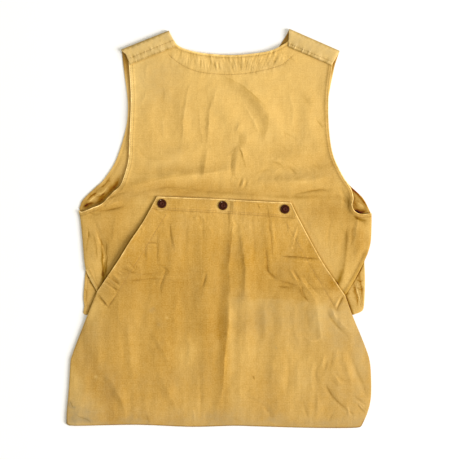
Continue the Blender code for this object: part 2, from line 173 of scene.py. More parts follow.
BAG_TOP = run(x=(-111.6, -64.8, 1.8, 66.6, 129.6), y=(57.8, 55.8, 53.2, 49.4, 46.8))
BAG_RIGHT_SLANT = run(
    x=(129.6, 144.2, 182.2, 206.3, 227),
    y=(46.8, 16.7, -54, -90.2, -120.6))
BAG_RIGHT_FLARE = run(
    x=(227, 239.4, 260.8, 271.1, 273.7, 272.9, 266.9, 257),
    y=(-120.6, -154.8, -206.6, -238.5, -275, -306.9, -331.7, -354))
BAG_BOTTOM = run(
    x=(257, 245, 169.2, 71.1, 27.4, -50.6, -148.1, -245.7, -270),
    y=(-354, -358.4, -358.6, -356, -354.8, -356.6, -353, -354.8, -354.4))
BAG_LEFT_FLARE = run(
    x=(-274.5, -273.9, -270, -267.1, -264.2, -249.5, -236.3, -219.5),
    y=(-350.5, -331.2, -286.4, -240.3, -227.7, -188.8, -155.2, -113.8))
BAG_LEFT_SLANT = run(
    x=(-219.5, -182.9, -160.4, -136.3, -111.6),
    y=(-113.8, -59.9, -23.6, 12.6, 57.8))
BAG_HEM_ROW = run(x=(-121, -64.8, 1.8, 66.6, 123, 138), y=(35.5, 31.5, 28, 23.8, 19.6, 18.2))

FRONT_LEFT_EDGE = run(x=(-89, 18), y=(353.4, 148.5))
FRONT_LEFT_CLOSURE = run(x=(18, 18), y=(148.5, FRONT_HEM_Y))
FRONT_LEFT_HEM = run(x=(18, -240.7), y=(FRONT_HEM_Y, FRONT_HEM_Y))
FRONT_LEFT_CORNER = run(
    x=(-240.7, -244.2, -242.5, -243.9, -242.1, -239.6),
    y=(FRONT_HEM_Y, -152, -139.5, -123.3, -98.1, -67.5))
FRONT_LEFT_SIDE = run(x=(-239.6, -244.3, -247.7, -251.2), y=(-67.5, -17.1, 15.3, 36.9))
FRONT_LEFT_ARMHOLE = run(
    x=(-251.2, -243.9, -221.4, -207.9, -188.1, -174.6, -165.8, -163.8, -166, -169.9, -175),
    y=(36.9, 52.6, 74.7, 87.3, 117, 153, 189.9, 220.5, 249.3, 276.3, 319.2))
LEFT_FLAP = run(
    x=(-175, -167.4, -161.3, -159.8, -76.1, -89),
    y=(319.2, 312.8, 297.9, 293.9, 327.4, 353.4))

FRONT_RIGHT_ARMHOLE = run(
    x=(216, 212.8, 208.6, 205.2, 197.1, 193.5, 194.4, 200.7, 213.3, 231.3, 252, 261.4, 272.6),
    y=(316.8, 306.9, 294.3, 278.1, 236.7, 202.5, 168.3, 137.7, 108.9, 81.9, 62.1, 51.3, 29))
FRONT_RIGHT_SIDE = run(x=(272.6, 272.7, 271.1, 265.3, 261.6), y=(29, 6.3, -24.3, -45.9, -60))
FRONT_RIGHT_CORNER = run(
    x=(261.6, 262.6, 262.4, 260.5, 256, 242.1),
    y=(-60, -83.7, -114.3, -141.3, -149.4, FRONT_HEM_Y))
FRONT_RIGHT_HEM = run(x=(242.1, -10.8), y=(FRONT_HEM_Y, FRONT_HEM_Y))
FRONT_RIGHT_CLOSURE = run(x=(-10.8, -10.8), y=(FRONT_HEM_Y, 145))
FRONT_RIGHT_EDGE = run(x=(-10.8, 106, 125.6), y=(145, 324, 356.4))
RIGHT_FLAP = run(
    x=(125.6, 124.6, 201.6, 208.4, 216),
    y=(356.4, 326.3, 293, 302.9, 316.8))

# Broad soft ridges of the source's solids: x and y of both ends, width and height
BACK_FOLDS = (
    (-18, 262, 50, 150, 17, 2.2), (44, 264, 122, 158, 17, 2.6), (-150, 84, 42, 104, 11, 2.0),
    (40, 84, 218, 90, 10, 1.8), (-128, 124, 4, 148, 13, 2.2), (84, 122, 192, 136, 13, 2.2),
    (-76, 246, -52, 128, 12, 1.7), (-128, 262, -116, 128, 15, 1.5), (152, 268, 168, 146, 15, 1.8),
    (-224, 16, -222, -88, 9, 0.9), (256, 12, 248, -66, 9, 1.6),
)
BAG_FOLDS = (
    (-22, 44, -26, -344, 20, 2.8), (50, 40, 38, -344, 20, 3.2), (-142, 8, -206, -330, 30, 2.6),
    (-92, -40, -104, -340, 24, 2.0), (148, -20, 214, -332, 30, 2.8), (112, -60, 118, -344, 22, 2.2),
    (-78, 30, -84, -96, 12, 1.6), (86, 24, 92, -70, 12, 1.6), (-190, -186, 176, -176, 14, 1.2),
)

# Creases as width, height (below 0 for a trough), and x and y of each point that they run through.
# Where there are two widths, the first is for the side on the left of the way that they run.
BACK_CREASES = (
    ((26, 14), 1.25, 2, 272, 22, 264, 36, 256, 48, 247, 60, 236, 72, 225, 82, 214, 88, 202, 88, 190,
     85, 175, 78, 154),
    (3, 0.5, 46, 224, 54, 208, 62, 194, 70, 178, 76, 163),
    ((14, 5), 1.0, -8, 242, -13, 224, -16, 208, -18, 188, -20, 164, -21, 146),
    ((14, 9), 1.3, -21, 144, -23, 130, -26, 112, -29, 94),
    ((12, 4), 0.7, -47, 266, -55, 250, -59, 227, -63, 199, -64, 174, -67, 152),
    ((6, 2.6), 0.4, -36, 230, -34, 199, -32, 178, -27, 146), (3, 0.35, -5, 248, -10, 226),
    ((4, 6), 0.5, -131, 246, -136, 232, -141, 216), ((9, 4), 0.35, -102, 262, -96, 244, -99, 228),
    ((8, 4), 0.4, -125, 300, -130, 288, -131, 268), ((8, 4), 0.8, 36, 195, 35, 183, 28, 171),
    ((20, 12), 0.8, 50, 174, 51, 159, 47, 145), ((9, 3.6), 0.8, 38, 150, 42, 138, 49, 117),
    ((25, 9), 1.2, 37, 148, 32, 131, 31, 112, 29, 92), (2.4, 0.4, 13, 128, 24, 137, 37, 149),
    (2.2, -0.6, 35, 147, 41, 135, 47, 118), (2.2, -0.5, 23, 136, 22, 118, 22, 98),
    ((19, 12), 1.8, -176, 72, -150, 80, -136, 85, -118, 90, -101, 93, -83, 96, -65, 98, -45, 99,
     -20, 100, 8, 103, 34, 108),
    ((4, 6), -0.7, -168, 62, -140, 66, -112, 71, -88, 74, -60, 72, -30, 68),
    ((5, 8), -0.8, -70, 64, -30, 66, 0, 65, 30, 63, 64, 60), (3, -0.6, -52, 74, -38, 69, -26, 71),
    (2.4, -0.7, 35, 72, 42, 92), (2.4, 0.7, 39, 70, 46, 90), (2.2, -0.6, 45, 70, 52, 88),
    ((4, 2.4), 0.5, 26, 96, 22, 82), (6, -0.40, 92, 122, 104, 116, 116, 104),
    (4, 0.35, 88, 112, 100, 120, 112, 124), (3, 0.35, 93, 96, 104, 104, 114, 106),
    (5, -0.40, 70, 96, 82, 104, 92, 106), (3, -0.35, 66, 84, 75, 94), (3, 0.30, 76, 84, 86, 98),
    (3, -0.35, 92, 84, 104, 92, 112, 100), (3, 0.25, 112, 88, 124, 98),
    (4, -0.30, 118, 114, 132, 104, 140, 96), (3, 0.25, 130, 118, 146, 106),
    (3, -0.25, 146, 92, 160, 104), (3, 0.25, 152, 88, 168, 98), (3, -0.25, 158, 114, 176, 98),
    (4, -0.25, 172, 120, 184, 104), (2.6, -0.23, 133, 88, 150, 94), (3, -0.23, 184, 108, 200, 120),
    (14, -0.7, 80, 110, 120, 108, 160, 110, 204, 118),
    ((10, 9), 1.0, 66, 88, 110, 84, 160, 86, 208, 96),
    ((4, 3), -1.0, 130, 60, 157, 66, 180, 69, 208, 68),
    ((4, 3), -1.0, -221, 33, -203, 33, -186, 36, -168, 42), (4, 0.8, -205, 40, -188, 46, -170, 50),
    (3, -0.8, -207, 46, -191, 58, -178, 63, -161, 66), (3, -0.5, -165, 58, -140, 60),
    (2.6, -0.5, -236, 30, -222, 26, -212, 30), (2.6, -0.4, -240, 22, -228, 18),
    ((7, 3), -1.5, -224, 8, -216, -12, -208, -30, -205, -46, -205, -64, -206, -82, -208, -102),
    (3.6, -1.4, -206, -56, -205, -80, -207, -104),
    ((3, 6), 0.2, -236, 10, -222, -8, -217, -21, -211, -44, -210, -76),
    (2.6, -0.6, -236, -4, -232, -21), (3, -0.4, -229, 24, -220, 6, -212, -12),
    ((9, 4), 0.5, -182, 30, -188, 4, -192, -24),
    ((12, 9), 0.8, 241, 14, 236, -8, 231, -31, 227, -60, 224, -80, 217, -104),
    ((8, 5), 1.0, 250, 20, 246, -12, 241, -36), (3, -0.7, 240, 23, 256, 13, 271, 6),
    (3, -0.6, 226, 60, 233, 46, 229, 32), (3, -0.5, 206, 62, 222, 54, 231, 40),
    (6, -0.7, 214, 76, 226, 58, 224, 36), (3, -0.4, 203, 22, 196, -16, 201, -58),
    (3, -0.5, 175, 195, 187, 180), (9, -0.6, 150, 242, 158, 226, 166, 218),
    ((9, 5), 0.45, 124, 250, 134, 214, 130, 176), ((9, 5), 0.4, -94, 216, -100, 186, -96, 158),
    (3, -0.3, 112, 176, 140, 160), (4, -0.35, -146, 150, -134, 130, -104, 120),
)

BAG_CREASES = (
    ((14, 15), 1.7, 20, 30, 19, 0, 19, -40, 18, -75, 19, -100, 18, -124, 16, -158, 14, -191,
     11, -214, 9, -241, 8, -272, 5, -293, 0, -315, -6, -346),
    (2.4, -0.8, 16, 36, 17, 18, 17, 0), (2.4, 0.5, 21, 20, 27, 8, 25, -6, 30, -20),
    ((12, 7), 1.0, 36, 18, 41, -8, 43, -30, 47, -55, 48, -80, 47, -104, 44, -124),
    (2, -0.7, 20, 52, 20, 27), (3, 0.6, 26, 50, 26, 34), (2.2, -0.6, 68, 44, 73, 34),
    (2.2, 0.5, 71, 46, 76, 36), ((2.6, 3), -0.8, -88, 12, -88, -10, -85, -27, -79, -41),
    (2.2, -0.6, -111, 4, -111, -24, -111, -56, -108, -68, -104, -80),
    (2.2, -0.8, -133, -25, -111, -26), (2.2, 0.4, -131, -28, -112, -29),
    (2.2, -0.7, -132.5, -24, -132.5, -58), (2.4, 0.6, -143, 10, -132, -8),
    (2.2, 0.5, -121, 36, -108, 23), (2.2, -0.4, -118, 40, -104, 26),
    (2.6, -1.1, -196, -84, -188, -92, -179, -99), (2.4, 0.9, -193, -80, -176, -94),
    (2.6, -1.1, -202, -91, -193, -98, -184, -103), (2.4, 0.8, -199, -87, -182, -100),
    (2.6, -0.9, -201, -102, -183, -111), (2.4, 0.7, -203, -97, -186, -106),
    (2.2, -0.6, -188, -75, -172, -86), (2.6, -0.8, -177, -68, -164, -75, -150, -82),
    (2.4, 0.6, -172, -62, -152, -74), (2.6, -0.7, -154, -76, -146, -82, -122, -82, -116, -92),
    (2.4, -0.6, -164, -93, -140, -93),
    (2.6, -0.8, -109, -64, -97, -73, -98, -84, -105, -102, -105, -118),
    ((3, 2.4), -1.0, -24, -77, -26, -96, -31, -107), (2.4, 0.5, -20, 5, -10, -8),
    (1.8, 0.6, -93, 26, -97, 17), (1.8, -0.5, -47, 25, -46, 14), (1.8, 0.5, -41, 25, -39, 12),
    (1.8, -0.5, -35, 24, -33, 12), (1.8, 0.5, -28, 24, -26, 10), (1.8, -0.5, -22, 23, -21, 12),
    (1.8, 0.5, 48, 19, 42, 4), (1.8, -0.5, 60, 19, 58, 8), (1.8, 0.5, 74, 18, 72, 6),
    (2.2, -1.5, -221, -117, -203, -140), (2.2, -0.5, -203, -140, -189, -126),
    (2.2, -0.8, 90, 24, 91.6, -2, 94.4, -19, 96.5, -44), (4, 0.6, 95, 20, 97, -4, 99, -22),
    (2.6, -1.0, 84, -34, 86, -54, 87, -71, 96, -86, 104, -90),
    (6, -0.8, 92, -78, 98, -86, 106, -92), (2.2, -1.4, 109, -50, 136, -50.5, 159, -53.4, 182, -55),
    ((2.6, 4), 0.9, 124, -55, 150, -58, 180, -61), (2.4, 0.8, 141, 6, 135, -16, 133, -31),
    (4, 0.6, 131, -30, 130, -38), (2.2, -0.5, 145, 0, 139, -18, 137, -32),
    (2.2, 0.4, 123, 12, 128, -14), (3, 0.9, 126, -70, 136, -86, 148, -100),
    (3, 0.9, 136, -73, 154, -100, 177, -132), (2.6, 0.6, 156, -88, 171, -109),
    (2.6, -1.1, 147, -102, 151, -117.5, 160, -130), (2.6, -0.8, 106, -94, 122, -97, 143, -103),
    (2.4, -0.7, 106, -104, 124, -106), (4, -0.7, 132, -74, 146, -94),
    (4, -0.6, 146, -78, 166, -104, 184, -122), (5, -0.6, 160, -70, 180, -94, 200, -110),
    (2.2, -1.5, 225, -118, 211, -144), (2.2, 0.8, 220, -119, 206, -143),
    (3, -0.35, -30, 20, -28, -22), (3, -0.35, -56, 18, -60, -40),
    ((4, 3), -0.4, 60, 12, 63, -30, 60, -60),
    ((14, 9), 1.2, -214, -258, -197, -270, -184, -291, -173, -315, -166, -338),
    ((16, 12), 0.9, -108, -258, -98, -280, -84, -306, -76, -330),
    ((16, 7), 0.8, -124, -186, -108, -205, -96, -226, -88, -256),
    (12, 0.8, -222, -196, -216, -230, -222, -262), ((12, 9), 0.7, -58, -186, -52, -215, -58, -250),
    ((8, 6), -0.5, -34, -262, -32, -300, -34, -344), (3, -0.5, -138, -334, -128, -345),
    (3, -0.4, -150, -332, -142, -346), (3, 0.4, -46, -318, -44, -348),
    ((12, 9), -0.5, -248, -190, -240, -225, -246, -262),
    ((14, 10), 0.7, -164, -170, -158, -236, -152, -280),
    ((12, 9), 0.5, -120, -118, -128, -160, -122, -190),
    ((12, 9), 0.45, -70, -110, -78, -158, -74, -200),
    ((9, 4), 0.3, -182, -122, -181, -150, -175, -180), (12, 0.7, 84, -124, 82, -160, 84, -206),
    ((12, 10), 0.6, 100, -226, 96, -262, 98, -300),
    ((14, 10), -0.8, 120, -218, 126, -252, 122, -300),
    ((12, 10), 0.6, 52, -140, 50, -190, 54, -230), (10, 0.5, 140, -128, 136, -170, 142, -206),
    (6, -0.5, 40, -294, 56, -305, 74, -312), ((8, 6), -0.8, 76, -312, 86, -326, 98, -344),
    ((12, 10), 0.8, 146, -232, 142, -262, 144, -306),
    ((14, 10), 1.1, 172, -128, 178, -160, 186, -204),
    ((9, 6), -0.6, 158, -134, 158, -160, 164, -190),
    ((4, 3), 0.5, 150, -186, 160, -200, 176, -201, 186, -190),
    ((3, 5), 0.9, 199, -140, 205, -150, 213, -164),
    ((6, 4), -0.75, 194, -146, 204, -165, 215, -177, 228, -190, 236, -206),
    (3, 0.5, 214, -162, 224, -174, 236, -186), ((3, 5), -0.55, 206, -216, 204, -232, 202, -250),
    (3, 0.5, 212, -214, 210, -240), ((3, 4), -0.42, 197, -232, 191, -250, 185, -266),
    ((4, 3), 0.5, 190, -226, 184, -250), ((3, 5), -0.45, 179, -240, 174, -262, 178, -284),
    (4, 0.5, 170, -238, 166, -268, 170, -300), (3, -0.6, 198, -266, 206, -276, 216, -284),
    (3, -0.5, 208, -258, 218, -268, 230, -276), (3, 0.4, 202, -258, 214, -272, 226, -284),
    ((3, 6), -0.95, 192, -278, 199, -294, 212, -311, 229, -324),
    ((8, 5), 0.8, 176, -290, 178, -320, 174, -348),
    ((14, 10), -1.3, 232, -218, 240, -240, 250, -262, 260, -284, 267, -304),
    (9, 0.8, 222, -222, 230, -250, 240, -282), (2.4, -0.8, 238, -300, 252, -308, 266, -320),
    (2.4, 0.6, 240, -305, 254, -314, 264, -326), (2.4, -1.0, 248, -316, 256, -326, 262, -333),
    (2.4, 0.8, 252, -315, 260, -326), (3, 0.8, 229, -318, 236, -338),
    (3, -0.7, 234, -320, 241, -340), (3, -0.5, 206, -330, 196, -348),
    (4, -0.5, 150, -310, 160, -340), (3, -0.4, 20, -338, 34, -346),
)

# Painted shade on facets of the cloth, or painted light above 0, sharply bounded along their
# paths. Their widths and points are given as for the creases.
FINE = (1.4, 1.6)
BACK_FACET_SHADE = (
    ((1.2, 19), -0.5, 4, 274, 24, 267, 39, 259, 51, 250, 63, 239, 75, 228, 84, 216),
    ((1.4, 24), -0.34, 78, 226, 86, 214, 89, 200, 88, 188, 85, 174, 79, 156),
    ((2.2, 1), 0.12, 46, 224, 54, 208, 62, 194, 70, 178, 76, 163),
    ((1.2, 7), -0.34, -13, 232, -16, 214, -18, 194, -20, 170, -21.5, 146),
    ((1.2, 12), -0.32, -21.5, 144, -23, 130, -25, 114, -29, 92),
    ((1, 9), -0.2, -47, 268, -55, 250, -59, 227, -64, 199, -65, 174, -68, 150),
    ((1, 6), -0.14, -37, 230, -35, 199, -33, 178, -28, 146), (2, 0.1, -5, 248, -10, 226),
    ((8, 1), -0.14, -130, 248, -137, 234, -142, 214),
    ((10, 8), -0.12, -104, 264, -98, 246, -100, 228), ((8, 1.2), -0.24, 36, 196, 34, 184, 27, 170),
    ((11, 1.2), -0.38, 36, 176, 37.5, 160, 39, 142), ((3, 14), 0.12, 35, 170, 34, 158, 37, 148),
    ((1.4, 2.6), -0.36, 34, 160, 36, 148, 40, 136, 46, 117, 52, 106),
    ((9, 1.2), -0.33, 36, 156, 29, 144, 25, 132, 24, 112, 23, 92, 19, 76),
    ((3, 1.2), -0.2, 13, 128, 24, 137, 37, 149),
    ((17, 1.6), -0.3, -172, 72, -136, 82, -100, 90, -66, 95, -36, 98, -8, 102, 20, 110),
    ((1.5, 13), 0.16, -170, 70, -136, 80, -100, 88, -66, 93, -36, 96, -8, 98),
    ((10, 6), -0.16, -70, 66, -30, 67, 0, 66, 30, 65, 64, 62),
    ((26, 8), -0.14, 58, 92, 100, 88, 150, 88, 206, 96), ((2, 3), 0.16, 80, 122, 96, 126, 116, 122),
    ((3, 2), -0.24, 90, 113, 100, 119, 112, 113, 119, 104),
    ((2, 3), -0.2, 64, 98, 78, 104, 92, 106), (2, -0.18, 120, 116, 132, 106, 140, 96),
    ((3, 6), -0.26, 130, 60, 157, 66, 181, 69, 208, 68),
    (6, -0.34, -88, 65, -40, 62, 0, 61, 40, 60, 84, 60),
    (6, -0.6, 72, 60, 104, 57, 130, 56, 160, 57, 190, 58), (7, -0.26, 180, 58, 210, 56, 236, 50),
    ((3, 5), -0.3, -230, 31, -203, 32, -186, 35, -166, 42),
    (3, -1.0, -212, -16, -210.5, -40, -209.5, -62, -209, -84, -210, -104),
    (FINE, -0.6, -204, -14, -202, -40, -202, -72, -205, -108),
    ((1.6, 3.5), -0.4, -227, -6, -221, -24, -219, -44, -218, -58),
    ((6, 12), -0.2, 235, 12, 229, -28, 223, -62, 216, -98),
    (4.5, -0.42, 231, 6, 229, -24, 228, -44, 226, -64, 222, -86),
    ((7, 8), -0.95, 223, -70, 218, -88, 212, -106), (2, -0.4, 242, 8, 239, -12, 238, -32),
    ((4, 3), -0.7, 242, 22, 257, 16, 268, 12), ((14, 10), -0.16, 148, 244, 158, 230, 168, 216),
    (FINE, -0.16, 28, 96, 40, 76), (FINE, 0.2, 33, 80, 40, 95), (FINE, -0.2, 36, 74, 44, 94),
    (FINE, 0.2, 40, 72, 47, 92), (FINE, -0.16, 46, 74, 52, 90), (FINE, 0.16, 52, 78, 58, 92),
    (FINE, -0.14, 60, 74, 68, 90), (FINE, 0.14, 76, 78, 88, 92), (FINE, -0.14, 96, 78, 106, 90),
    (FINE, 0.14, 122, 78, 136, 92), (FINE, -0.14, 140, 80, 152, 94),
    (FINE, -0.16, 126, 122, 142, 110), (FINE, 0.14, 150, 116, 166, 102),
    (FINE, -0.14, 168, 118, 182, 104), (FINE, -0.2, 196, 108, 212, 118),
    (FINE, -0.14, -92, 74, -76, 70, -60, 74), (FINE, -0.14, -120, 70, -104, 64),
    (FINE, -0.2, -160, 104, -140, 98, -120, 100), (FINE, -0.12, 100, 152, 122, 144),
    (FINE, -0.12, 130, 180, 150, 170), (FINE, -0.12, -110, 182, -100, 160),
    (FINE, -0.2, 174, 196, 188, 180), (FINE, -0.2, -236, 30, -222, 24, -210, 28),
    (FINE, -0.25, -206, 48, -192, 56, -176, 60), (FINE, 0.2, -214, 40, -196, 46, -180, 50),
    ((1.6, 1.8), -0.7, -235, 4, -234, -12, -236, -24, -238, -46),
    (FINE, -0.25, -228, -60, -222, -84, -218, -104), (FINE, -0.25, 240, 24, 256, 14, 272, 8),
    (FINE, -0.2, 228, 62, 234, 48, 230, 34),
)
BAG_FACET_SHADE = (
    ((1.2, 13), -0.52, 20, 42, 21, 28, 23, 4, 22.5, -16, 21, -36, 19, -56, 17, -78),
    ((9, 1), 0.12, 23, 20, 24, 4, 23.5, -16, 22, -36, 20, -56),
    ((1.2, 10), -0.22, 17, -74, 20, -96, 21, -126),
    ((1.2, 15), -0.4, 20, -122, 18, -158, 15, -191, 12, -214, 9.5, -241, 8.5, -264, 6, -290,
     4, -312, 1, -348),
    ((30, 1), 0.42, 21, -130, 19, -158, 16, -191, 13, -214, 10, -250, 7, -290),
    ((1.2, 8), -0.3, 30, 20, 36, 2, 38, -21, 43, -47, 46.5, -70, 46, -102, 44, -124),
    ((2, 1.4), 0.22, 21, 30, 26, 14, 31, 5, 29, -8, 32, -24),
    ((1, 3), -0.3, -84, 18, -86, 2, -84, -16, -81, -27, -78, -52),
    (1.4, -0.2, -107, 5, -107, -56, -104.5, -70), (1.2, -0.22, -130, -26, -108, -26),
    ((3, 9), -0.3, 86, -62, 90, -76, 100, -88, 108, -94),
    ((2, 6), -0.3, 104, -90, 122, -97, 146, -104),
    ((1.2, 6), -0.35, 147, -98, 151, -116, 158, -130),
    ((1.2, 9), -0.3, 22, 10, 23, -10, 21, -34, 18, -58, 15, -76),
    ((1.6, 2), -0.3, -165, -93, -146, -92, -124, -90, -100, -91), (1.2, -0.2, -129, -24, -129, -58),
    ((2.4, 1.4), -0.3, -108, -64, -93, -73, -92, -80, -101, -102, -104, -124),
    ((1, 2), 0.2, -220, -96, -196, -112, -180, -116),
    ((1.5, 1.8), -0.75, -207, -79, -194, -91, -178, -101),
    ((1.5, 1.8), -0.65, -204, -92, -191, -103, -177, -114),
    (FINE, 0.6, -204, -84, -190, -97, -176, -107), (FINE, 0.5, -210, -96, -196, -104, -182, -118),
    (FINE, -0.3, -185, -75, -170, -79, -158, -80, -146, -71),
    (FINE, -0.24, -164, -52, -156, -66, -149, -76), (FINE, 0.2, -150, -20, -143, -6, -140, 14),
    (FINE, -0.2, -146, -22, -139, -6, -136, 12), (FINE, -0.2, -112, 24, -100, 12, -98, -4),
    (FINE, 0.2, -96, 30, -100, 16), (FINE, -0.16, -62, 30, -60, 8), (FINE, -0.2, -36, 27, -31, 12),
    (FINE, 0.24, -42, 27, -38, 10, -28, -2), (FINE, 0.18, -12, 24, -10, 4),
    (FINE, -0.18, -50, 52, -52, 38), (FINE, -0.2, 22, 52, 20, 36), (FINE, 0.2, 30, 48, 32, 24),
    (FINE, -0.26, 68, 46, 74, 36), (FINE, 0.2, 60, -4, 48, 16),
    (FINE, 0.16, 118, 10, 124, -10, 128, -22), (FINE, 0.24, 127, -36, 134, -34),
    (FINE, 0.24, 124, -72, 136, -88, 146, -104, 154, -116),
    (FINE, 0.2, 150, -84, 160, -98, 178, -124), (1.4, -0.65, -221, -114, -208, -130, -199, -141),
    (1.4, -0.3, -199, -141, -186, -122), (1.4, -0.24, -166, -72, -152, -79, -144, -76),
    (1.4, 0.24, -190, -70, -176, -82, -168, -94), (1.4, -0.24, -158, -64, -146, -70, -138, -84),
    (1.4, -0.16, -140, -82, -112, -80, -84, -84), (1.4, -0.14, -128, -93, -96, -92, -70, -96),
    (1.4, 0.14, -132, -88, -100, -86, -64, -88), (1.4, -0.16, -62, -74, -30, -78, -6, -74),
    ((1.2, 5), -0.2, -21, -79, -25, -97, -28, -108),
    ((1.2, 3), -0.42, 86, 52, 89, 32, 90, 12, 94, -16, 97, -50, 98, -60),
    ((1.5, 4), -0.34, 84, -32, 86, -57, 87, -74, 96, -82, 108, -88),
    ((1.2, 1.8), -0.55, 105, -47, 122, -50, 139, -50.5, 159, -52.5, 182, -54.5),
    ((10, 2), -0.12, 142, 4, 137, -14, 133, -32), (1.2, 0.22, 141, 2, 136, -14, 132, -33),
    ((8, 1.4), -0.18, 128, -70, 141, -91, 156, -116),
    ((8, 1.4), -0.16, 154, -78, 166, -97, 180, -117),
    ((1.4, 3), -0.4, 144, -101, 149, -117, 163, -133), (3, -0.2, 104, -103, 122, -106, 136, -104),
    ((5, 10), -0.26, 96, -104, 140, -108, 180, -108, 226, -112), (1.4, -0.45, 226, -119, 211, -146),
    (1.4, 0.3, 222, -119, 208, -144), ((10, 7), -0.09, 74, -126, 73, -160, 78, -204),
    ((10, 8), -0.14, 123, -220, 127, -256, 122, -302),
    ((6, 10), 0.12, 115, -222, 118, -256, 112, -296),
    ((12, 8), 0.14, 168, -132, 172, -160, 184, -198),
    ((10, 5), -0.14, 155, -134, 156, -160, 162, -190),
    ((2, 4), -0.2, 194, -144, 204, -164, 215, -177, 229, -191),
    ((1.4, 2), 0.2, 199, -141, 206, -151, 214, -165),
    ((1.4, 4), -0.28, 192, -276, 199, -293, 211, -309, 230, -324, 246, -336),
    ((3, 9), -0.2, 205, -215, 203, -240, 199, -262),
    ((2, 6), -0.18, 196, -232, 190, -252, 184, -268),
    ((3, 14), -0.2, 240, -230, 251, -260, 262, -286, 268, -308),
    ((1.4, 9), -0.16, -198, -262, -184, -288, -172, -314, -166, -336),
    ((12, 14), -0.12, -214, -276, -200, -292, -188, -312),
    ((18, 2), -0.13, -118, -188, -104, -206, -92, -230, -86, -262),
    ((12, 8), -0.12, -102, -282, -92, -302, -80, -326), (10, 0.1, -52, -186, -50, -215, -54, -246),
    (1.2, -0.2, -182, -124, -181, -150, -175, -180), (1.6, -0.6, 61, -264, 63, -272),
    (FINE, -0.4, -258, -334, -246, -341, -237, -344, -228, -352),
    (1.3, -0.5, -268, -307, -265, -317, -261, -322), (2, -0.4, -130, -334, -124, -350),
    (2, 0.3, 252, -314, 260, -328), (2, -0.45, 255, -314, 264, -328),
    ((10, 8), 0.1, 168, -286, 166, -320, 170, -346),
)

LAP_CREASES = (
    (2.2, -0.7, -109, 347, -105, 337, -101, 327), (2.2, -0.6, 145, 344, 144, 336, 142, 326),
    (3, 0.3, -140, 316, -128, 310), (3, -0.3, -150, 318, -146, 306),
    (2.4, -0.35, -122, 324, -116, 310), (2.4, -0.35, 166, 328, 162, 316),
    (2.4, 0.3, 182, 322, 178, 310), (2.4, -0.35, 190, 322, 184, 306),
)

# Cloth that only the armholes or the underside show
FRONT_CREASES = (
    (9, 0.8, -200, -20, -150, 20, -90, 40), (7, 0.7, -215, -90, -160, -70, -110, -80),
    (8, 0.8, -120, 230, -95, 160, -100, 100), (6, 0.6, -40, 60, -50, -10, -38, -90),
    (5, 0.5, -232, 60, -205, 52, -180, 62), (3, 0.5, -236, 48, -214, 50),
    (5, 0.6, -160, -120, -100, -112, -60, -124), (9, 0.8, 215, -30, 160, 10, 100, 30),
    (7, 0.7, 222, -95, 170, -75, 120, -84), (8, 0.8, 150, 240, 140, 170, 150, 100),
    (6, 0.6, 70, 70, 80, 0, 66, -80), (3, 0.6, 252, 36, 262, 46, 256, 56),
    (4, 0.5, 246, 60, 256, 44, 250, 34), (5, 0.6, 170, -124, 120, -114, 70, -126),
)

# Painted shade, or painted light above 0, on the inside of the fronts, given as for the back's
FRONT_FACET_SHADE = (
    ((7, 5), -1.0, -226, 42, -212, 52, -196, 68, -183, 82, -176, 98),
    (3, -0.9, -244, 37, -236, 44, -224, 46), (2, -0.8, -238, 50, -228, 60, -218, 66),
    (2, 0.5, -235, 46, -226, 55, -216, 60), (2, -0.6, -226, 58, -214, 57, -204, 66),
    (2, 0.4, -222, 62, -210, 64, -200, 76), (2, -0.5, -214, 72, -204, 80, -196, 92),
    ((1, 9), -0.3, -208, 82, -190, 112, -176, 150, -169, 190),
    (2, 0.3, -214, 80, -196, 108, -182, 142), ((4, 3), -0.9, 232, 80, 246, 64, 258, 52, 268, 36),
    (4, -1.1, 242, 34, 252, 29, 266, 31), (3, -0.5, 240, 58, 244, 46, 250, 38),
    (2, -0.3, 248, 52, 256, 44, 262, 40), (3, 0.5, 250, 48, 256, 42, 260, 36),
    ((1.5, 3), -0.6, 242, -96, 247, -118, 251, -140),
    ((1.5, 3), -0.5, 253, -76, 256, -104, 259, -134), (2, 0.4, 247, -98, 251, -118, 255, -138),
    (2, -0.4, 246, -92, 254, -96, 259, -92), (2, -0.4, 248, -106, 255, -110, 260, -106),
    ((1.5, 4), -0.5, 260, -66, 252, -82, 243, -98), (2, -0.4, -243, -104, -238, -120, -241, -136),
)

# How faded the cloth is at places, where shade is painted, and where it is soiled: x and y, reach
# across and along, and amount. Some darker patches among the faded ones are painted shade too:
# along the back's waist fold, just above the bag's top and down the bag's middle valley.
BACK_FADE_AND_SHADE = (
    (-120, 235, 70, 70, -0.14), (-140, 150, 40, 60, -0.06), (30, 215, 70, 50, 0.05),
    (40, 180, 40, 30, 0.07), (150, 200, 60, 60, 0.04), (-70, 75, 60, 12, -0.16),
    (10, 62, 190, 12, -0.4), (-110, 78, 70, 12, -0.25), (-215, -10, 48, 80, -0.42),
    (20, 120, 200, 26, -0.15), (-90, 108, 90, 8, -0.2), (190, 120, 24, 60, -0.12),
    (-176, 20, 30, 50, -0.2), (230, -20, 45, 75, -0.42), (178, 40, 40, 30, -0.2),
    (-222, -40, 9, 55, 0.12), (20, 80, 210, 16, -0.2), (-178, 0, 30, 60, -0.14),
    (-222, 36, 30, 10, -0.2), (253, 36, 20, 14, -0.3), (124, 38, 20, 14, -0.16),
    (-40, 296, 50, 20, 0.12), (-135, 300, 30, 40, 0.12), (210, 296, 14, 30, -0.2),
    (208, 250, 26, 60, -0.14), (150, 125, 50, 30, -0.1), (-178, 44, 30, 14, -0.2),
    (190, 36, 50, 18, -0.18), (253, -20, 20, 30, -0.3), (0, 166, 50, 20, -0.1),
    (-95, 123, 50, 14, 0.14), (200, 110, 24, 30, -0.12), (262, -10, 14, 50, -0.1),
    (-135, 345, 30, 20, 0.14), (-135, 252, 24, 24, 0.14), (-221, -135, 12, 14, 0.1),
    (172, 6, 30, 36, -0.16), (-152, 240, 26, 80, 0.2), (0, 300, 250, 70, 0.15),
    (-170, 270, 30, 60, 0.42), (185, 15, 40, 36, -0.12),
)
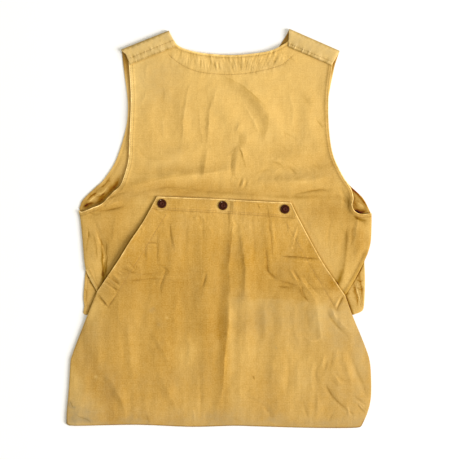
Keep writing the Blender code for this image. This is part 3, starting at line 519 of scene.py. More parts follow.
BACK_SHADE = (
    (234, 44, 9, 24, -0.6), (250, 17, 22, 8, -0.5), (216, 24, 26, 16, -0.2), (-174, 74, 9, 8, -0.6),
    (-190, 54, 12, 5, -0.3), (-196, -10, 26, 36, -0.1), (-224, 25, 22, 8, -0.4),
    (-200, 39, 14, 7, -0.3), (-195, -32, 12, 26, -0.4), (176, -4, 26, 40, 0.1),
    (216, -92, 8, 12, -0.5),
)
BACK_SOIL = (
    (-120, 270, 50, 50, 0.3), (190, 270, 30, 50, 0.16), (30, 292, 90, 12, 0.2),
    (96, 292, 16, 10, 0.15), (-140, 60, 40, 14, 0.1), (150, 95, 60, 12, 0.12),
    (-28, 214, 2, 1.6, 0.2), (-100, 118, 50, 10, 0.1), (60, 182, 2, 2, 0.15),
)
BAG_FADE_AND_SHADE = (
    (-60, -90, 80, 40, -0.12), (-140, -95, 50, 25, -0.12), (60, -75, 40, 45, -0.05),
    (150, -92, 70, 26, -0.14), (0, 20, 130, 40, 0.14), (140, 10, 16, 40, 0.12),
    (60, 0, 60, 30, 0.1), (-40, -150, 50, 50, -0.1), (-225, -150, 22, 40, 0.2),
    (235, -160, 26, 30, 0.28), (-238, -330, 34, 26, 0.42), (-190, -300, 30, 40, -0.18),
    (-120, -340, 90, 20, 0.12), (-60, -230, 20, 50, 0.18), (-40, -330, 22, 30, 0.16),
    (180, -160, 14, 34, 0.3), (60, -230, 50, 60, 0.14), (30, -300, 25, 60, 0.14),
    (150, -265, 24, 60, 0.2), (255, -250, 14, 50, 0.22), (140, -345, 120, 14, 0.1),
    (225, -330, 40, 24, 0.06), (6, -240, 8, 110, -0.25), (-20, -200, 16, 60, -0.12),
    (213, -92, 16, 16, -0.5), (81, -92, 20, 20, -0.12), (60, -180, 50, 30, -0.16),
    (-35, -150, 26, 90, 0.05), (81, -6, 20, 20, 0.12), (-48, -20, 20, 90, 0.1),
    (-262, -290, 12, 60, 0.3), (-222, -135, 14, 20, 0.22), (212, -135, 18, 14, -0.15),
    (10, -180, 40, 20, -0.16), (-228, -265, 20, 40, -0.2), (-205, -340, 44, 18, -0.3),
    (-80, -225, 40, 60, -0.12), (-110, -345, 60, 14, -0.14), (80, -335, 24, 16, -0.12),
    (-100, -290, 12, 20, -0.08), (-200, -308, 30, 22, -0.14), (-262, -265, 14, 60, 0.14),
    (124, 30, 20, 14, -0.1), (-221, -140, 12, 20, 0.14), (-48, -222, 18, 34, 0.2),
    (252, -205, 16, 56, 0.12), (-48, -10, 20, 24, -0.12), (81, -6, 20, 24, -0.12),
    (212, -135, 16, 14, 0.2), (-266, -352, 14, 10, 0.3),
)
BAG_SOIL = (
    (-250, -332, 28, 26, 0.55), (-266, -316, 3, 6, 0.6), (-261, -323, 3, 3, 0.4),
    (-236, -345, 14, 5, 0.5), (-206, -350, 10, 3, 0.3), (-127, -350, 5, 4, 0.3),
    (-225, -185, 30, 30, 0.2), (-200, -280, 24, 40, 0.14), (150, -160, 70, 34, 0.18),
    (215, -195, 22, 26, 0.16), (200, -290, 34, 40, 0.15), (240, -345, 40, 10, 0.15),
    (104, -215, 2, 1.6, 0.5), (122, -218, 1.6, 1.6, 0.5), (42, -122, 10, 9, 0.2),
    (104, -211, 1.4, 2, 0.4), (-109, -171, 4, 3, 0.3), (-119, -146, 5, 3, 0.3),
    (100, -343, 12, 8, 0.3), (0, -340, 40, 14, 0.2), (0, -356, 320, 26, 0.25),
    (-240, -230, 20, 60, 0.15), (80, -175, 14, 40, 0.1), (254, -195, 16, 60, 0.4),
    (214, -150, 20, 30, 0.25), (-264, -350, 14, 12, 0.4), (-160, -345, 20, 6, 0.3),
    (150, -350, 60, 6, 0.2), (-205, -100, 20, 12, 0.15),
)
BAG_SPECKS = (
    (-221, -266, 2.4, 2.2, 0.9), (-93, -160, 2.2, 2, 0.6), (-244, -318, 3, 2, 0.3),
)
# The right half of the bag below this line is washed paler
WASHED = run(x=(14, 22, 90, 150, 196, 214), y=(-119, -120, -122.5, -128, -135, -146))
WASHED_COLUMNS = (10, 26, 205, 240)
WASHED_AMOUNT = 0.24
FACET_SHADE_STRENGTH = 1.35
WASHED_DEPTH = (20.0, 190.0)

# How much darker the inside of the fronts is where the underarm hems stand over it
UNDERARM_SHADE = (
    (-222, 44, 24, 5, 1.6), (-212, 68, 22, 8, 1.1), (-243, 42, 10, 8, 1.2), (-190, 84, 16, 16, 0.7),
    (-180, 120, 10, 40, 0.4), (-229, 56, 10, 4, -0.5), (250, 42, 16, 16, 1.5),
    (254, 31, 18, 5, 1.8), (239, 58, 5, 12, 1.4), (268, 42, 5, 8, 0.8), (255, 44, 5, 4, -0.7),
    (222, 86, 12, 12, 0.6),
)

SNAP_NODES = ("snap_left", "snap_centre", "snap_right")
SNAPS = tuple(
    tuple((low + high) / 2 / MM for low, high in zip(*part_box(node)))[:2] for node in SNAP_NODES)

# Cap profile as (radius, height) in millimetres, from the seat up over the rim to the dimple
CAP_PROFILE = (
    (7.7, 0.0), (8.2, 0.35), (8.3, 0.95), (8.05, 1.6), (7.45, 2.2), (6.6, 2.5), (5.7, 2.35),
    (5.1, 1.95), (4.75, 1.8), (4.5, 2.2), (4.2, 2.9), (3.7, 3.25), (3.0, 3.36), (2.2, 3.2),
    (1.5, 2.8), (0.9, 2.6), (0.45, 2.55),
)
CAP_SIDES = 48
# Middle of a painted highlight spot on the cap's rim, in millimetres from its middle, in a pale
# metal colour
CAP_GLINT = (-2.4, 6.3)
# Only the caps on the left of this place get the painted highlight spot
GLINT_UP_TO = 0.03
# How much the caps are rubbed all over and in rings (wear, radius and width), and how strong and
# how wide the painted highlight spot is
CAP_WEAR = 0.16
CAP_RINGS = ((0.34, 2.6, 2.2), (0.35, 6.7, 0.7))
GLINT_STRENGTH = 1.2
GLINT_REACH = 1.1


class VestCloth(bpy.types.PropertyGroup):
    """Sizes and colours of the canvas."""
    spacing: bpy.props.FloatProperty(
        name="Mesh spacing", description="Distance between points of the cloth that shows",
        default=0.0025, min=0.0015, max=0.01, unit="LENGTH", precision=4)
    hidden_spacing: bpy.props.FloatProperty(
        name="Hidden mesh spacing", description="Distance between points of the cloth underneath",
        default=0.0042, min=0.002, max=0.02, unit="LENGTH", precision=4)
    hem_rise: bpy.props.FloatProperty(
        name="Hem rise", description="How much thicker the turned hems are than the cloth",
        default=0.0006, min=0, max=0.002, unit="LENGTH", precision=4)
    rumple: bpy.props.FloatProperty(
        name="Rumple", description="Height of the slight unevenness of worn canvas",
        default=0.0009, min=0, max=0.003, unit="LENGTH", precision=5)
    crease_depth: bpy.props.FloatProperty(
        name="Crease depth", description="How deep the creases are, times their tabled heights",
        default=1.6, min=0, max=3)
    thread_pitch: bpy.props.FloatProperty(
        name="Thread pitch", description="Distance from yarn to yarn in the weave",
        default=0.00085, min=0.0003, max=0.003, unit="LENGTH", precision=5)
    deep: bpy.props.FloatVectorProperty(
        name="Unfaded canvas", description="Colour where the cloth has kept its dye",
        default=(0.496, 0.272, 0.05), size=3, min=0, max=1, subtype="COLOR")
    pale: bpy.props.FloatVectorProperty(
        name="Faded canvas", description="Colour where the cloth is worn pale",
        default=(0.763, 0.497, 0.158), size=3, min=0, max=1, subtype="COLOR")
    soiled: bpy.props.FloatVectorProperty(
        name="Soiled canvas", description="Colour of the dirt that has worked into the cloth",
        default=(0.33, 0.245, 0.125), size=3, min=0, max=1, subtype="COLOR")


class VestStitching(bpy.types.PropertyGroup):
    """Sizes and colour of the sewing thread."""
    length: bpy.props.FloatProperty(
        name="Stitch length", description="Length of one stitch",
        default=0.0024, min=0.001, max=0.006, unit="LENGTH", precision=4)
    pitch: bpy.props.FloatProperty(
        name="Stitch pitch", description="Distance from one stitch to the next",
        default=0.0031, min=0.0015, max=0.008, unit="LENGTH", precision=4)
    thickness: bpy.props.FloatProperty(
        name="Thread thickness", description="Thickness of the sewing thread",
        default=0.00062, min=0.0002, max=0.002, unit="LENGTH", precision=5)
    colour: bpy.props.FloatVectorProperty(
        name="Thread colour", description="Colour of the sewing thread",
        default=(0.4, 0.215, 0.05), size=3, min=0, max=1, subtype="COLOR")


class VestSnaps(bpy.types.PropertyGroup):
    """Colours of the enamelled snap caps."""
    enamel: bpy.props.FloatVectorProperty(
        name="Enamel", description="Colour of the enamelled cap",
        default=(0.04, 0.008, 0.0015), size=3, min=0, max=1, subtype="COLOR")
    # The colour of the painted highlight spot on the rims of two caps
    painted_glint: bpy.props.FloatVectorProperty(
        name="Bare metal", description="Colour of the chip in two of the caps' rims",
        default=(0.5, 0.36, 0.24), size=3, min=0, max=1, subtype="COLOR")
    worn: bpy.props.FloatVectorProperty(
        name="Worn enamel", description="Colour where the enamel has rubbed thin",
        default=(0.09, 0.024, 0.017), size=3, min=0, max=1, subtype="COLOR")


class VestStudio(bpy.types.PropertyGroup):
    """Camera, light and floor."""
    camera_height: bpy.props.FloatProperty(
        name="Camera height", description="Height of the camera above the floor",
        default=3.0, min=1, max=10, unit="LENGTH")
    field: bpy.props.FloatProperty(
        name="Field", description="Width of the floor that the picture takes in",
        default=0.828, min=0.3, max=3, unit="LENGTH")
    sky: bpy.props.FloatProperty(
        name="Sky light", description="Strength of the even light from all round",
        default=0.5, min=0, max=5)
    key: bpy.props.FloatProperty(
        name="Window light", description="Power of the large soft light at the right",
        default=930.0, min=0, max=5000, unit="POWER")
    floor_colour: bpy.props.FloatVectorProperty(
        name="Floor colour", description="Colour of the pale floor",
        default=(0.97, 0.965, 1.0), size=3, min=0, max=1, subtype="COLOR")


def travelled(path):
    """How far along an open path each of its points is."""
    return np.concatenate(([0], np.cumsum(np.hypot(*np.diff(path, axis=0).T))))


def smooth(points, step=OUTLINE_STEP):
    """Even points on a rounded curve through the given ones."""
    fine = points = np.array(points, dtype=float)
    if len(points) > 2:
        ghosts = np.vstack((2 * points[0] - points[1], points, 2 * points[-1] - points[-2]))
        t = np.linspace(0, 1, CURVE_STEPS, endpoint=False)[:, None]
        pieces = []
        for p0, p1, p2, p3 in zip(ghosts, ghosts[1:], ghosts[2:], ghosts[3:]):
            pull_in, pull_out = (p2 - p0) / 2, (p3 - p1) / 2
            pieces.append((2 * t**3 - 3 * t**2 + 1) * p1 + (t**3 - 2 * t**2 + t) * pull_in
                          + (3 * t**2 - 2 * t**3) * p2 + (t**3 - t**2) * pull_out)
        fine = np.vstack(pieces + [points[-1:]])
    along = travelled(fine)
    wanted = np.linspace(0, along[-1], max(2, round(along[-1] / step) + 1))
    return np.column_stack([np.interp(wanted, along, fine[:, axis]) for axis in (0, 1)])


def joined(*runs):
    """Smoothed runs end to end, without points that fall together."""
    path = np.vstack([smooth(points) for points in runs])
    gap = np.hypot(*(path[1:] - path[:-1]).T)
    return path[np.concatenate(([True], gap > ROUND_OFF))]


def outline(*runs):
    """Close the smoothed runs into one counter-clockwise loop."""
    loop = joined(*runs)
    if np.hypot(*(loop[0] - loop[-1])) < ROUND_OFF:
        loop = loop[:-1]
    return loop if flat_area(loop) > 0 else loop[::-1]


def flat_area(loop):
    """Area inside a loop, above 0 when it runs counter-clockwise."""
    x, y = loop.T
    return np.sum(x * np.roll(y, -1) - np.roll(x, -1) * y) / 2


def closed(loop):
    return np.vstack((loop, loop[:1]))


def corners(points):
    """Straight runs from each point to the next."""
    return [[tuple(start), tuple(end)] for start, end in zip(points, points[1:])]


def shifted(points, gap):
    """Move an open path to its left by a gap, with mitred corners."""
    points = np.array(points, dtype=float)
    step = np.diff(points, axis=0)
    step /= np.linalg.norm(step, axis=1)[:, None]
    miter = np.vstack((step[:1], step)) + np.vstack((step, step[-1:]))
    side = np.column_stack((-miter[:, 1], miter[:, 0]))
    return points + 2 * gap * side / np.maximum(np.sum(miter**2, axis=1), 1)[:, None]


def nearest(points, path):
    """Distance of every point from an open path, how far along that is, and on which side."""
    tree = KDTree(len(path))
    for number, (x, y) in enumerate(path):
        tree.insert((x, y, 0), number)
    tree.balance()
    hit = np.array([tree.find((x, y, 0))[1] for x, y in points], dtype=int)
    step = np.diff(path, axis=0)
    length = np.hypot(*step.T)
    reached = travelled(path)
    best = np.full(len(points), np.inf)
    along, left = np.zeros((2, len(points)))
    for first in (np.maximum(hit - 1, 0), np.minimum(hit, len(path) - 2)):
        offset = points - path[first]
        share = np.clip(np.sum(offset * step[first], axis=1) / length[first] ** 2, 0, 1)
        away = np.hypot(*(offset - share[:, None] * step[first]).T)
        turn = step[first][:, 0] * offset[:, 1] - step[first][:, 1] * offset[:, 0]
        closer = away < best
        best[closer] = away[closer]
        along[closer] = (reached[first] + share * length[first])[closer]
        left[closer] = np.sign(turn)[closer]
    return best, along, left


def distance(points, *paths):
    """Distance of every point from the nearest of the paths."""
    return np.min([nearest(points, path)[0] for path in paths], axis=0)


def beside(points, path, reach):
    """The numbers of the points near a path, and what nearest() says of them."""
    near = np.flatnonzero(np.all((points > path.min(axis=0) - reach)
                                 & (points < path.max(axis=0) + reach), axis=1))
    return near, *nearest(points[near], path)


def inside(points, loop):
    """Even-odd test of every point against a closed loop."""
    (x0, y0), (x1, y1) = loop.T, np.roll(loop, -1, axis=0).T
    rise = np.where(y1 == y0, 1, y1 - y0)
    found = []
    for part in np.array_split(points, max(1, len(points) // 4000)):
        x, y = part[:, :1], part[:, 1:]
        crosses = (y0 > y) != (y1 > y)
        found.append(np.sum(crosses & (x < x0 + (y - y0) * (x1 - x0) / rise), axis=1) % 2 == 1)
    return np.concatenate(found)


def outside(points, loop):
    """Distance from a closed loop, and 0 within it."""
    return np.where(inside(points, loop), 0, distance(points, closed(loop)))


def ease(values, low, high):
    """Rise smoothly from 0 at the low value to 1 at the high one."""
    share = np.clip((values - low) / (high - low), 0, 1)
    return share * share * (3 - 2 * share)


def bell(away, width, power=2):
    """1 where away is 0, falling off smoothly over about a width on both sides."""
    return np.exp(-(away / width) ** power)


def settled(away):
    """0 on a seam, where the layers are held down, and nearly 1 a finger's breadth off it."""
    return 1 - np.exp(-away / SETTLE)


def ripple(points, across, along, seed):
    """Smooth unevenness from about -1 to 1, with its own size across and along."""
    return np.array([noise.noise((x / across, y / along, seed)) for x, y in points]) * 1.6


def roughness(points, waves):
    """Sum of ripples of several heights and sizes."""
    return sum(height * ripple(points, *size) for height, *size in waves)


def wavering(points, amount, size, seed):
    """Points moved a little, so that what is placed by them isn't ruled straight."""
    return points + amount * np.column_stack(
        (ripple(points, size, size, seed), ripple(points, size, size, seed + 0.37)))


def folds(points, table):
    """Height of broad ridges that fade out towards both ends."""
    height = np.zeros(len(points))
    for x0, y0, x1, y1, width, rise in table:
        start = np.array((x0, y0), dtype=float)
        span = np.array((x1, y1)) - start
        length = np.hypot(*span)
        offset = points - start
        along = np.clip(offset @ span / length**2, 0, 1)
        across = (offset[:, 0] * span[1] - offset[:, 1] * span[0]) / length
        height += rise * np.sin(math.pi * along) * bell(across, width)
    return height


def sharp(paths):
    """The paths of the narrow or steep creases, which the mesh follows."""
    return [path for left, right, rise, path in paths
            if min(left, right) < NARROW or abs(rise) > STEEP]


def crease_paths(table, seed):
    """The tabled creases as left width, right width, height and a slightly wandering path."""
    found = []
    for number, (width, rise, *through) in enumerate(table):
        left, right = width if isinstance(width, tuple) else (width, width)
        path = smooth(np.reshape(through, (-1, 2)))
        path[1:-1] = wavering(path, 0.9, 11, seed + 0.71 * number)[1:-1]
        found.append((left, right, rise, path))
    return found


def creases(points, paths):
    """Height of the creases, sharp along their paths, and the shade or light painted along each."""
    height, shading_tone = np.zeros((2, len(points)))
    for number, (wide_left, wide_right, rise, path) in enumerate(paths):
        near, away, along, left = beside(points, path, 3.2 * max(wide_left, wide_right))
        total = np.sum(np.hypot(*np.diff(path, axis=0).T))
        middle = np.maximum(np.sin(math.pi * along / total), 0)
        uneven = 1 + 0.3 * np.sin(along / 9 + 2.1 * number) * np.sin(along / 23 + number)
        fading = uneven * np.sqrt(middle) * (0.5 + 0.5 * middle)
        width = np.where(left > 0, wide_left, wide_right) * (0.65 + 0.35 * middle)
        narrow = min(wide_left, wide_right)
        blunt = 0.06 if narrow > NARROW else 0.15
        flank = np.clip(1 + blunt - np.hypot(away / (1.15 * width), blunt), 0, 1)
        height[near] += rise * min(1, 0.25 + 0.75 * narrow / 6) * fading * flank ** 1.3
        # Painted shade, with some dirt, along the troughs and painted light along the ridges
        shading_tone[near] += (np.clip(rise, -1.2, 0.6) * fading * min(0.9, 3 / narrow)
                       * bell(away, 0.7 + 0.2 * narrow))
    return height, shading_tone


def facet_shading(points, paths):
    """How much painted shade, or painted light, lies on the faces beside the given paths."""
    shading_tone = np.zeros(len(points))
    for number, (wide_left, wide_right, amount, path) in enumerate(paths):
        reach = max(wide_left, wide_right)
        near, away, along, left = beside(points, path, reach)
        total = np.sum(np.hypot(*np.diff(path, axis=0).T))
        ends = np.clip(4.5 * np.minimum(along, total - along) / total, 0, 1)
        uneven = 1 + 0.35 * np.sin(along / 7 + 1.7 * number) * np.sin(along / 19 + number)
        width = np.where(left > 0, wide_left, wide_right) * (0.7 + 0.3 * ends)
        weight = 1.7 if reach < 5 else 1
        shading_tone[near] += weight * amount * ends * uneven * np.clip(1 - away / width, 0, 1) ** 1.2
    return shading_tone


def patches(points, table):
    """Sum of soft round-edged patches."""
    total = np.zeros(len(points))
    for x, y, across, along, amount in table:
        total += amount * np.exp(-((points[:, 0] - x) / across) ** 2
                                 - ((points[:, 1] - y) / along) ** 2)
    return total


def sewn(points, rows):
    """Grooves of stitched rows, the puckers beside them, and how near a stitch line is."""
    groove, pucker, line = np.zeros((3, len(points)))
    for number, row in enumerate(rows):
        near, away, along, _ = beside(points, row, PUCKER_REACH)
        groove[near] = np.minimum(groove[near], -0.32 * bell(away, 0.95))
        line[near] = np.maximum(line[near], bell(away, 1.2))
        wave = np.array([0.6 * noise.noise((s / 5.2, 7.3 * number, 0.4))
                         + noise.noise((s / 2.3, 3.1 * number, 4.4)) for s in along])
        pucker[near] += 0.42 * wave * bell(away, 5.5)
    return groove, pucker, line


def hem(away, width, rise):
    """Extra thickness of a turned hem, with a soft step at its inner edge."""
    return rise * (1 - ease(away, width - 0.7, width + 0.9))


def inset(path, depth):
    """A row of stitches that follows part of a clockwise outline at some depth."""
    return shifted(smooth(path) if isinstance(path, list) else path, -depth)


def lattice(loop, spacing):
    """Staggered rows of points over the loop's box."""
    low, high = loop.min(axis=0), loop.max(axis=0)
    rise = spacing * math.sqrt(3) / 2
    points = []
    for number, y in enumerate(np.arange(low[1] + rise / 2, high[1], rise)):
        x = np.arange(low[0] + spacing / 2 * (number % 2), high[0], spacing)
        points.append(np.column_stack((x, np.full(len(x), y))))
    return np.vstack(points)


def spread_out(points, kept, gap):
    """The points that stay clear of those kept so far and of each other."""
    cells = {}

    def crowded(x, y):
        column, row = int(x // gap), int(y // gap)
        return any((x - a) ** 2 + (y - b) ** 2 < gap * gap
                   for i in (-1, 0, 1) for j in (-1, 0, 1)
                   for a, b in cells.get((column + i, row + j), ()))

    for x, y in kept:
        cells.setdefault((int(x // gap), int(y // gap)), []).append((x, y))
    fresh = []
    for x, y in points:
        if not crowded(x, y):
            cells.setdefault((int(x // gap), int(y // gap)), []).append((x, y))
            fresh.append((x, y))
    return np.array(fresh).reshape(-1, 2)


def rim_rings(loop, depths):
    """Points that follow the loop a little way in."""
    tangent = np.roll(loop, -1, axis=0) - np.roll(loop, 1, axis=0)
    inward = np.column_stack((-tangent[:, 1], tangent[:, 0]))
    inward /= np.linalg.norm(inward, axis=1)[:, None]
    rings = []
    for depth in depths:
        ring = loop + inward * depth
        ring = ring[inside(ring, loop)]
        rings.append(ring[distance(ring, closed(loop)) > depth * 0.96])
    return np.vstack(rings)


def fill(loop, spacing, depths=(), rows=(), lines=()):
    """Fine triangles inside an outline, closer together along its hems and stitched rows."""
    extra = [rim_rings(loop, depths)] if depths else []
    for row, side in [(row, ROW_SIDE) for row in rows] + [(line, LINE_SIDE) for line in lines]:
        for gap in (0, -side, side):
            strip = shifted(row, gap)
            strip = strip[inside(strip, loop)]
            extra.append(strip[distance(strip, closed(loop)) > CLOSEST])
    fine = spread_out(np.vstack(extra), loop, CLOSEST) if extra else np.empty((0, 2))
    field = lattice(loop, spacing)
    field = field[inside(field, loop)]
    field = spread_out(field, np.vstack((loop, fine)), spacing * 0.72)
    points = np.vstack((loop, fine, field))
    ring = [(i, (i + 1) % len(loop)) for i in range(len(loop))]
    points, _, faces, *_ = delaunay_2d_cdt(
        [Vector(point) for point in points], ring, [], 1, ROUND_OFF)
    return np.array([tuple(point) for point in points]), np.array([tuple(face) for face in faces])


def shell(name, cut, faces, middle, normal, above, below, looks):
    """Close a cloth wall round its middle surface, with a rounded edge, and keep its looks."""
    count = len(cut)
    edges = np.vstack((faces[:, [0, 1]], faces[:, [1, 2]], faces[:, [2, 0]]))
    key, back = edges @ (count, 1), edges @ (1, count)
    rim = edges[~np.isin(key, back)]
    step = middle[rim[:, 1]] - middle[rim[:, 0]]
    out = np.cross(step, normal[rim[:, 0]])
    outward = np.zeros((count, 3))
    for side in (0, 1):
        np.add.at(outward, rim[:, side], out / np.linalg.norm(out, axis=1)[:, None])
    edge = np.unique(rim)
    outward[edge] /= np.maximum(np.linalg.norm(outward[edge], axis=1), ROUND_OFF)[:, None]

    thinner = np.ones(count)
    thinner[edge] = RIM_THIN
    inset_edge = np.zeros((count, 3))
    inset_edge[edge] = outward[edge] * RIM_ROUND
    top = middle + normal * (above * thinner)[:, None] - inset_edge
    bottom = middle - normal * (below * thinner)[:, None] - inset_edge
    slot_of = np.full(count, -1)
    slot_of[edge] = 2 * count + np.arange(len(edge))
    lean = ((above - below) / 2)[edge, None] * normal[edge]
    vertices = np.vstack((top, bottom, middle[edge] + lean))

    a, b = rim.T
    walls = np.vstack((
        np.column_stack((a + count, b + count, slot_of[b], slot_of[a])),
        np.column_stack((slot_of[a], slot_of[b], b, a))))
    polygons = faces.tolist() + (faces[:, ::-1] + count).tolist() + walls.tolist()
    mesh = bpy.data.meshes.new(name)
    mesh.from_pydata(vertices * MM, [], polygons)
    mesh.shade_smooth()
    source = np.concatenate((np.arange(count), np.arange(count), edge))
    on_cut = mesh.attributes.new("cut", "FLOAT_VECTOR", "POINT")
    on_cut.data.foreach_set("vector", np.column_stack(
        (cut[source] * MM, np.zeros(len(source)))).astype(np.float32).ravel())
    for look, values in looks.items():
        layer = mesh.attributes.new(look, "FLOAT", "POINT")
        layer.data.foreach_set("value", values[source].astype(np.float32))
    piece = bpy.data.objects.new(name, mesh)
    bpy.context.scene.collection.objects.link(piece)
    return piece


FLARE = (BAG_RIGHT_FLARE, BAG_BOTTOM, BAG_LEFT_FLARE)
BAG_SEAM = joined(*FLARE)
BODY_SEAM = joined(RIGHT_SIDE, RIGHT_SLIT, *FLARE, LEFT_SLIT, LEFT_SIDE)
BAG_OUTLINE = outline(BAG_TOP, BAG_RIGHT_SLANT, *FLARE, BAG_LEFT_SLANT)
BACK_LINES = crease_paths(BACK_CREASES, 3.1)
BAG_LINES = crease_paths(BAG_CREASES, 7.9)
FRONT_LINES = crease_paths(FRONT_CREASES, 12.3)
LAP_LINES = crease_paths(LAP_CREASES, 16.6)
BACK_SHADE_LINES = crease_paths(BACK_FACET_SHADE, 21.2)
BAG_SHADE_LINES = crease_paths(BAG_FACET_SHADE, 25.7)
FRONT_SHADE_LINES = crease_paths(FRONT_FACET_SHADE, 29.9)
FLAPS = [outline(*corners(flap + flap[:1])) for flap in (LEFT_FLAP, RIGHT_FLAP)]
NECK_EDGE = smooth(NECK)
ARMHOLES = [smooth(BACK_RIGHT_ARMHOLE), smooth(BACK_LEFT_ARMHOLE)]
SLITS = [smooth(RIGHT_SLIT), smooth(LEFT_SLIT)]
BAG_FREE_EDGES = [smooth(BAG_RIGHT_SLANT), smooth(BAG_LEFT_SLANT)]


def insets(*edges):
    """Rows of stitches at one or more depths in from the edges."""
    return [inset(path, depth) for path, *depths in edges for depth in depths]


ROWS = {
    "back": [
        shifted(smooth(NECK, 1.4), -5), smooth(BAND, 1.4),
        *insets((BACK_LEFT_ARMHOLE, 2.2, 6.4), (BACK_RIGHT_ARMHOLE, 2.2, 6), (RIGHT_SLIT, 6),
                (LEFT_SLIT, 6)),
    ],
    "bag_outer": [
        smooth(BAG_HEM_ROW, 1.6), shifted(smooth(BAG_HEM_ROW), 3.4),
        *insets((BAG_TOP, 2.4), (BAG_RIGHT_SLANT, 2.6), (BAG_LEFT_SLANT, 2.6)),
        smooth([(-216, -118.5), (-199, -142)]), smooth([(224, -124), (211.5, -148)]),
        smooth([(-199, -142), (-186, -121.5), (-160.4, -80), (-141, -50), (-118, -12), (-94, 28)]),
        smooth([(211.5, -148), (199, -125.5), (165, -68), (140, -24), (118, 14)]),
    ],
    "front_left": insets(
        (FRONT_LEFT_CORNER, 6), (FRONT_LEFT_HEM, 16), (FRONT_LEFT_ARMHOLE, 6),
        (FRONT_LEFT_CLOSURE, 3, 24), (FRONT_LEFT_EDGE, 3, 9)),
    "front_right": [
        smooth([(243, -98), (256, -140)]), smooth([(246, -97), (258.5, -138)]),
        smooth([(247.5, -106), (259, -106)]),
        *insets((FRONT_RIGHT_HEM, 16), (FRONT_RIGHT_ARMHOLE, 6), (FRONT_RIGHT_CLOSURE, 3, 24),
                (FRONT_RIGHT_EDGE, 3, 9)),
    ],
}
LAP_ROWS = {
    "front_left": [smooth([(-158.4, 296.8), (-78.2, 328.8)], 1.2),
                   smooth([(-161.8, 305.4), (-82, 338.4)], 1.2)],
    "front_right": [smooth([(126, 327.6), (201.3, 295)], 1.2),
                    smooth([(122, 333.6), (203.4, 299.6)], 1.2)],
}


def seam_level(y):
    """Underside of the back and inner bag wall where they meet the fronts at a seam."""
    return OVERLAP_LIFT * ease(y, *STEP_DOWN)


def body_underside(points):
    """Underside of the back and inner bag wall, settling down towards the side seams."""
    low = seam_level(points[:, 1])
    high = BACK_UNDERSIDE * ease(points[:, 1], *STEP_DOWN)
    return low + (high - low) * settled(distance(points, BODY_SEAM))


def clear_of(points, loops, low, high):
    """0 under the given loops, rising to 1 at some distance from them."""
    clear = np.ones(len(points))
    for loop in loops:
        clear *= ease(outside(points, loop), low, high)
    return clear


def from_snaps(points):
    """Distance from the nearest snap's middle."""
    return np.min([np.hypot(points[:, 0] - x, points[:, 1] - y) for x, y in SNAPS], axis=0)


def above_floor(height, floor):
    """Keep a height clear of what lies under it, with a soft landing."""
    room = (height - floor) / CLEARANCE
    return floor + CLEARANCE * np.logaddexp(0, room)


def seam_shade(x, away, left_gain, width):
    """Shade beside the side seams, dark on the right and light on the left."""
    side = ease(x, *RIGHT_COLUMNS) - 0.6 * (1 - ease(x, *LEFT_COLUMNS))
    return 0.34 * side * np.where(side < 0, left_gain, 1) * bell(away, width)


def neck_gathers(points):
    """Fine gathers of the neck band, fanned out from the neck's edge."""
    x = points[:, 0]
    depth, spoke, _ = nearest(points, NECK_EDGE)
    spoke = spoke + 0.85 * depth * ease(x, 20, 80) - 0.2 * depth
    fan = np.array([
        (noise.noise((s / 4.4, d / 26, 0.1)) + 0.8 * noise.noise((s / 2.1, d / 14, 5.1)))
        * (1 + 1.5 * noise.noise((s / 13, d / 12, 8.1))) for s, d in zip(spoke, depth)])
    in_band = bell(distance(points, BAND_MIDDLE), 16, 4)
    return fan * (in_band * (0.5 + 0.5 * bell(x - 30, 60) + 0.3 * bell(x - 95, 16)))


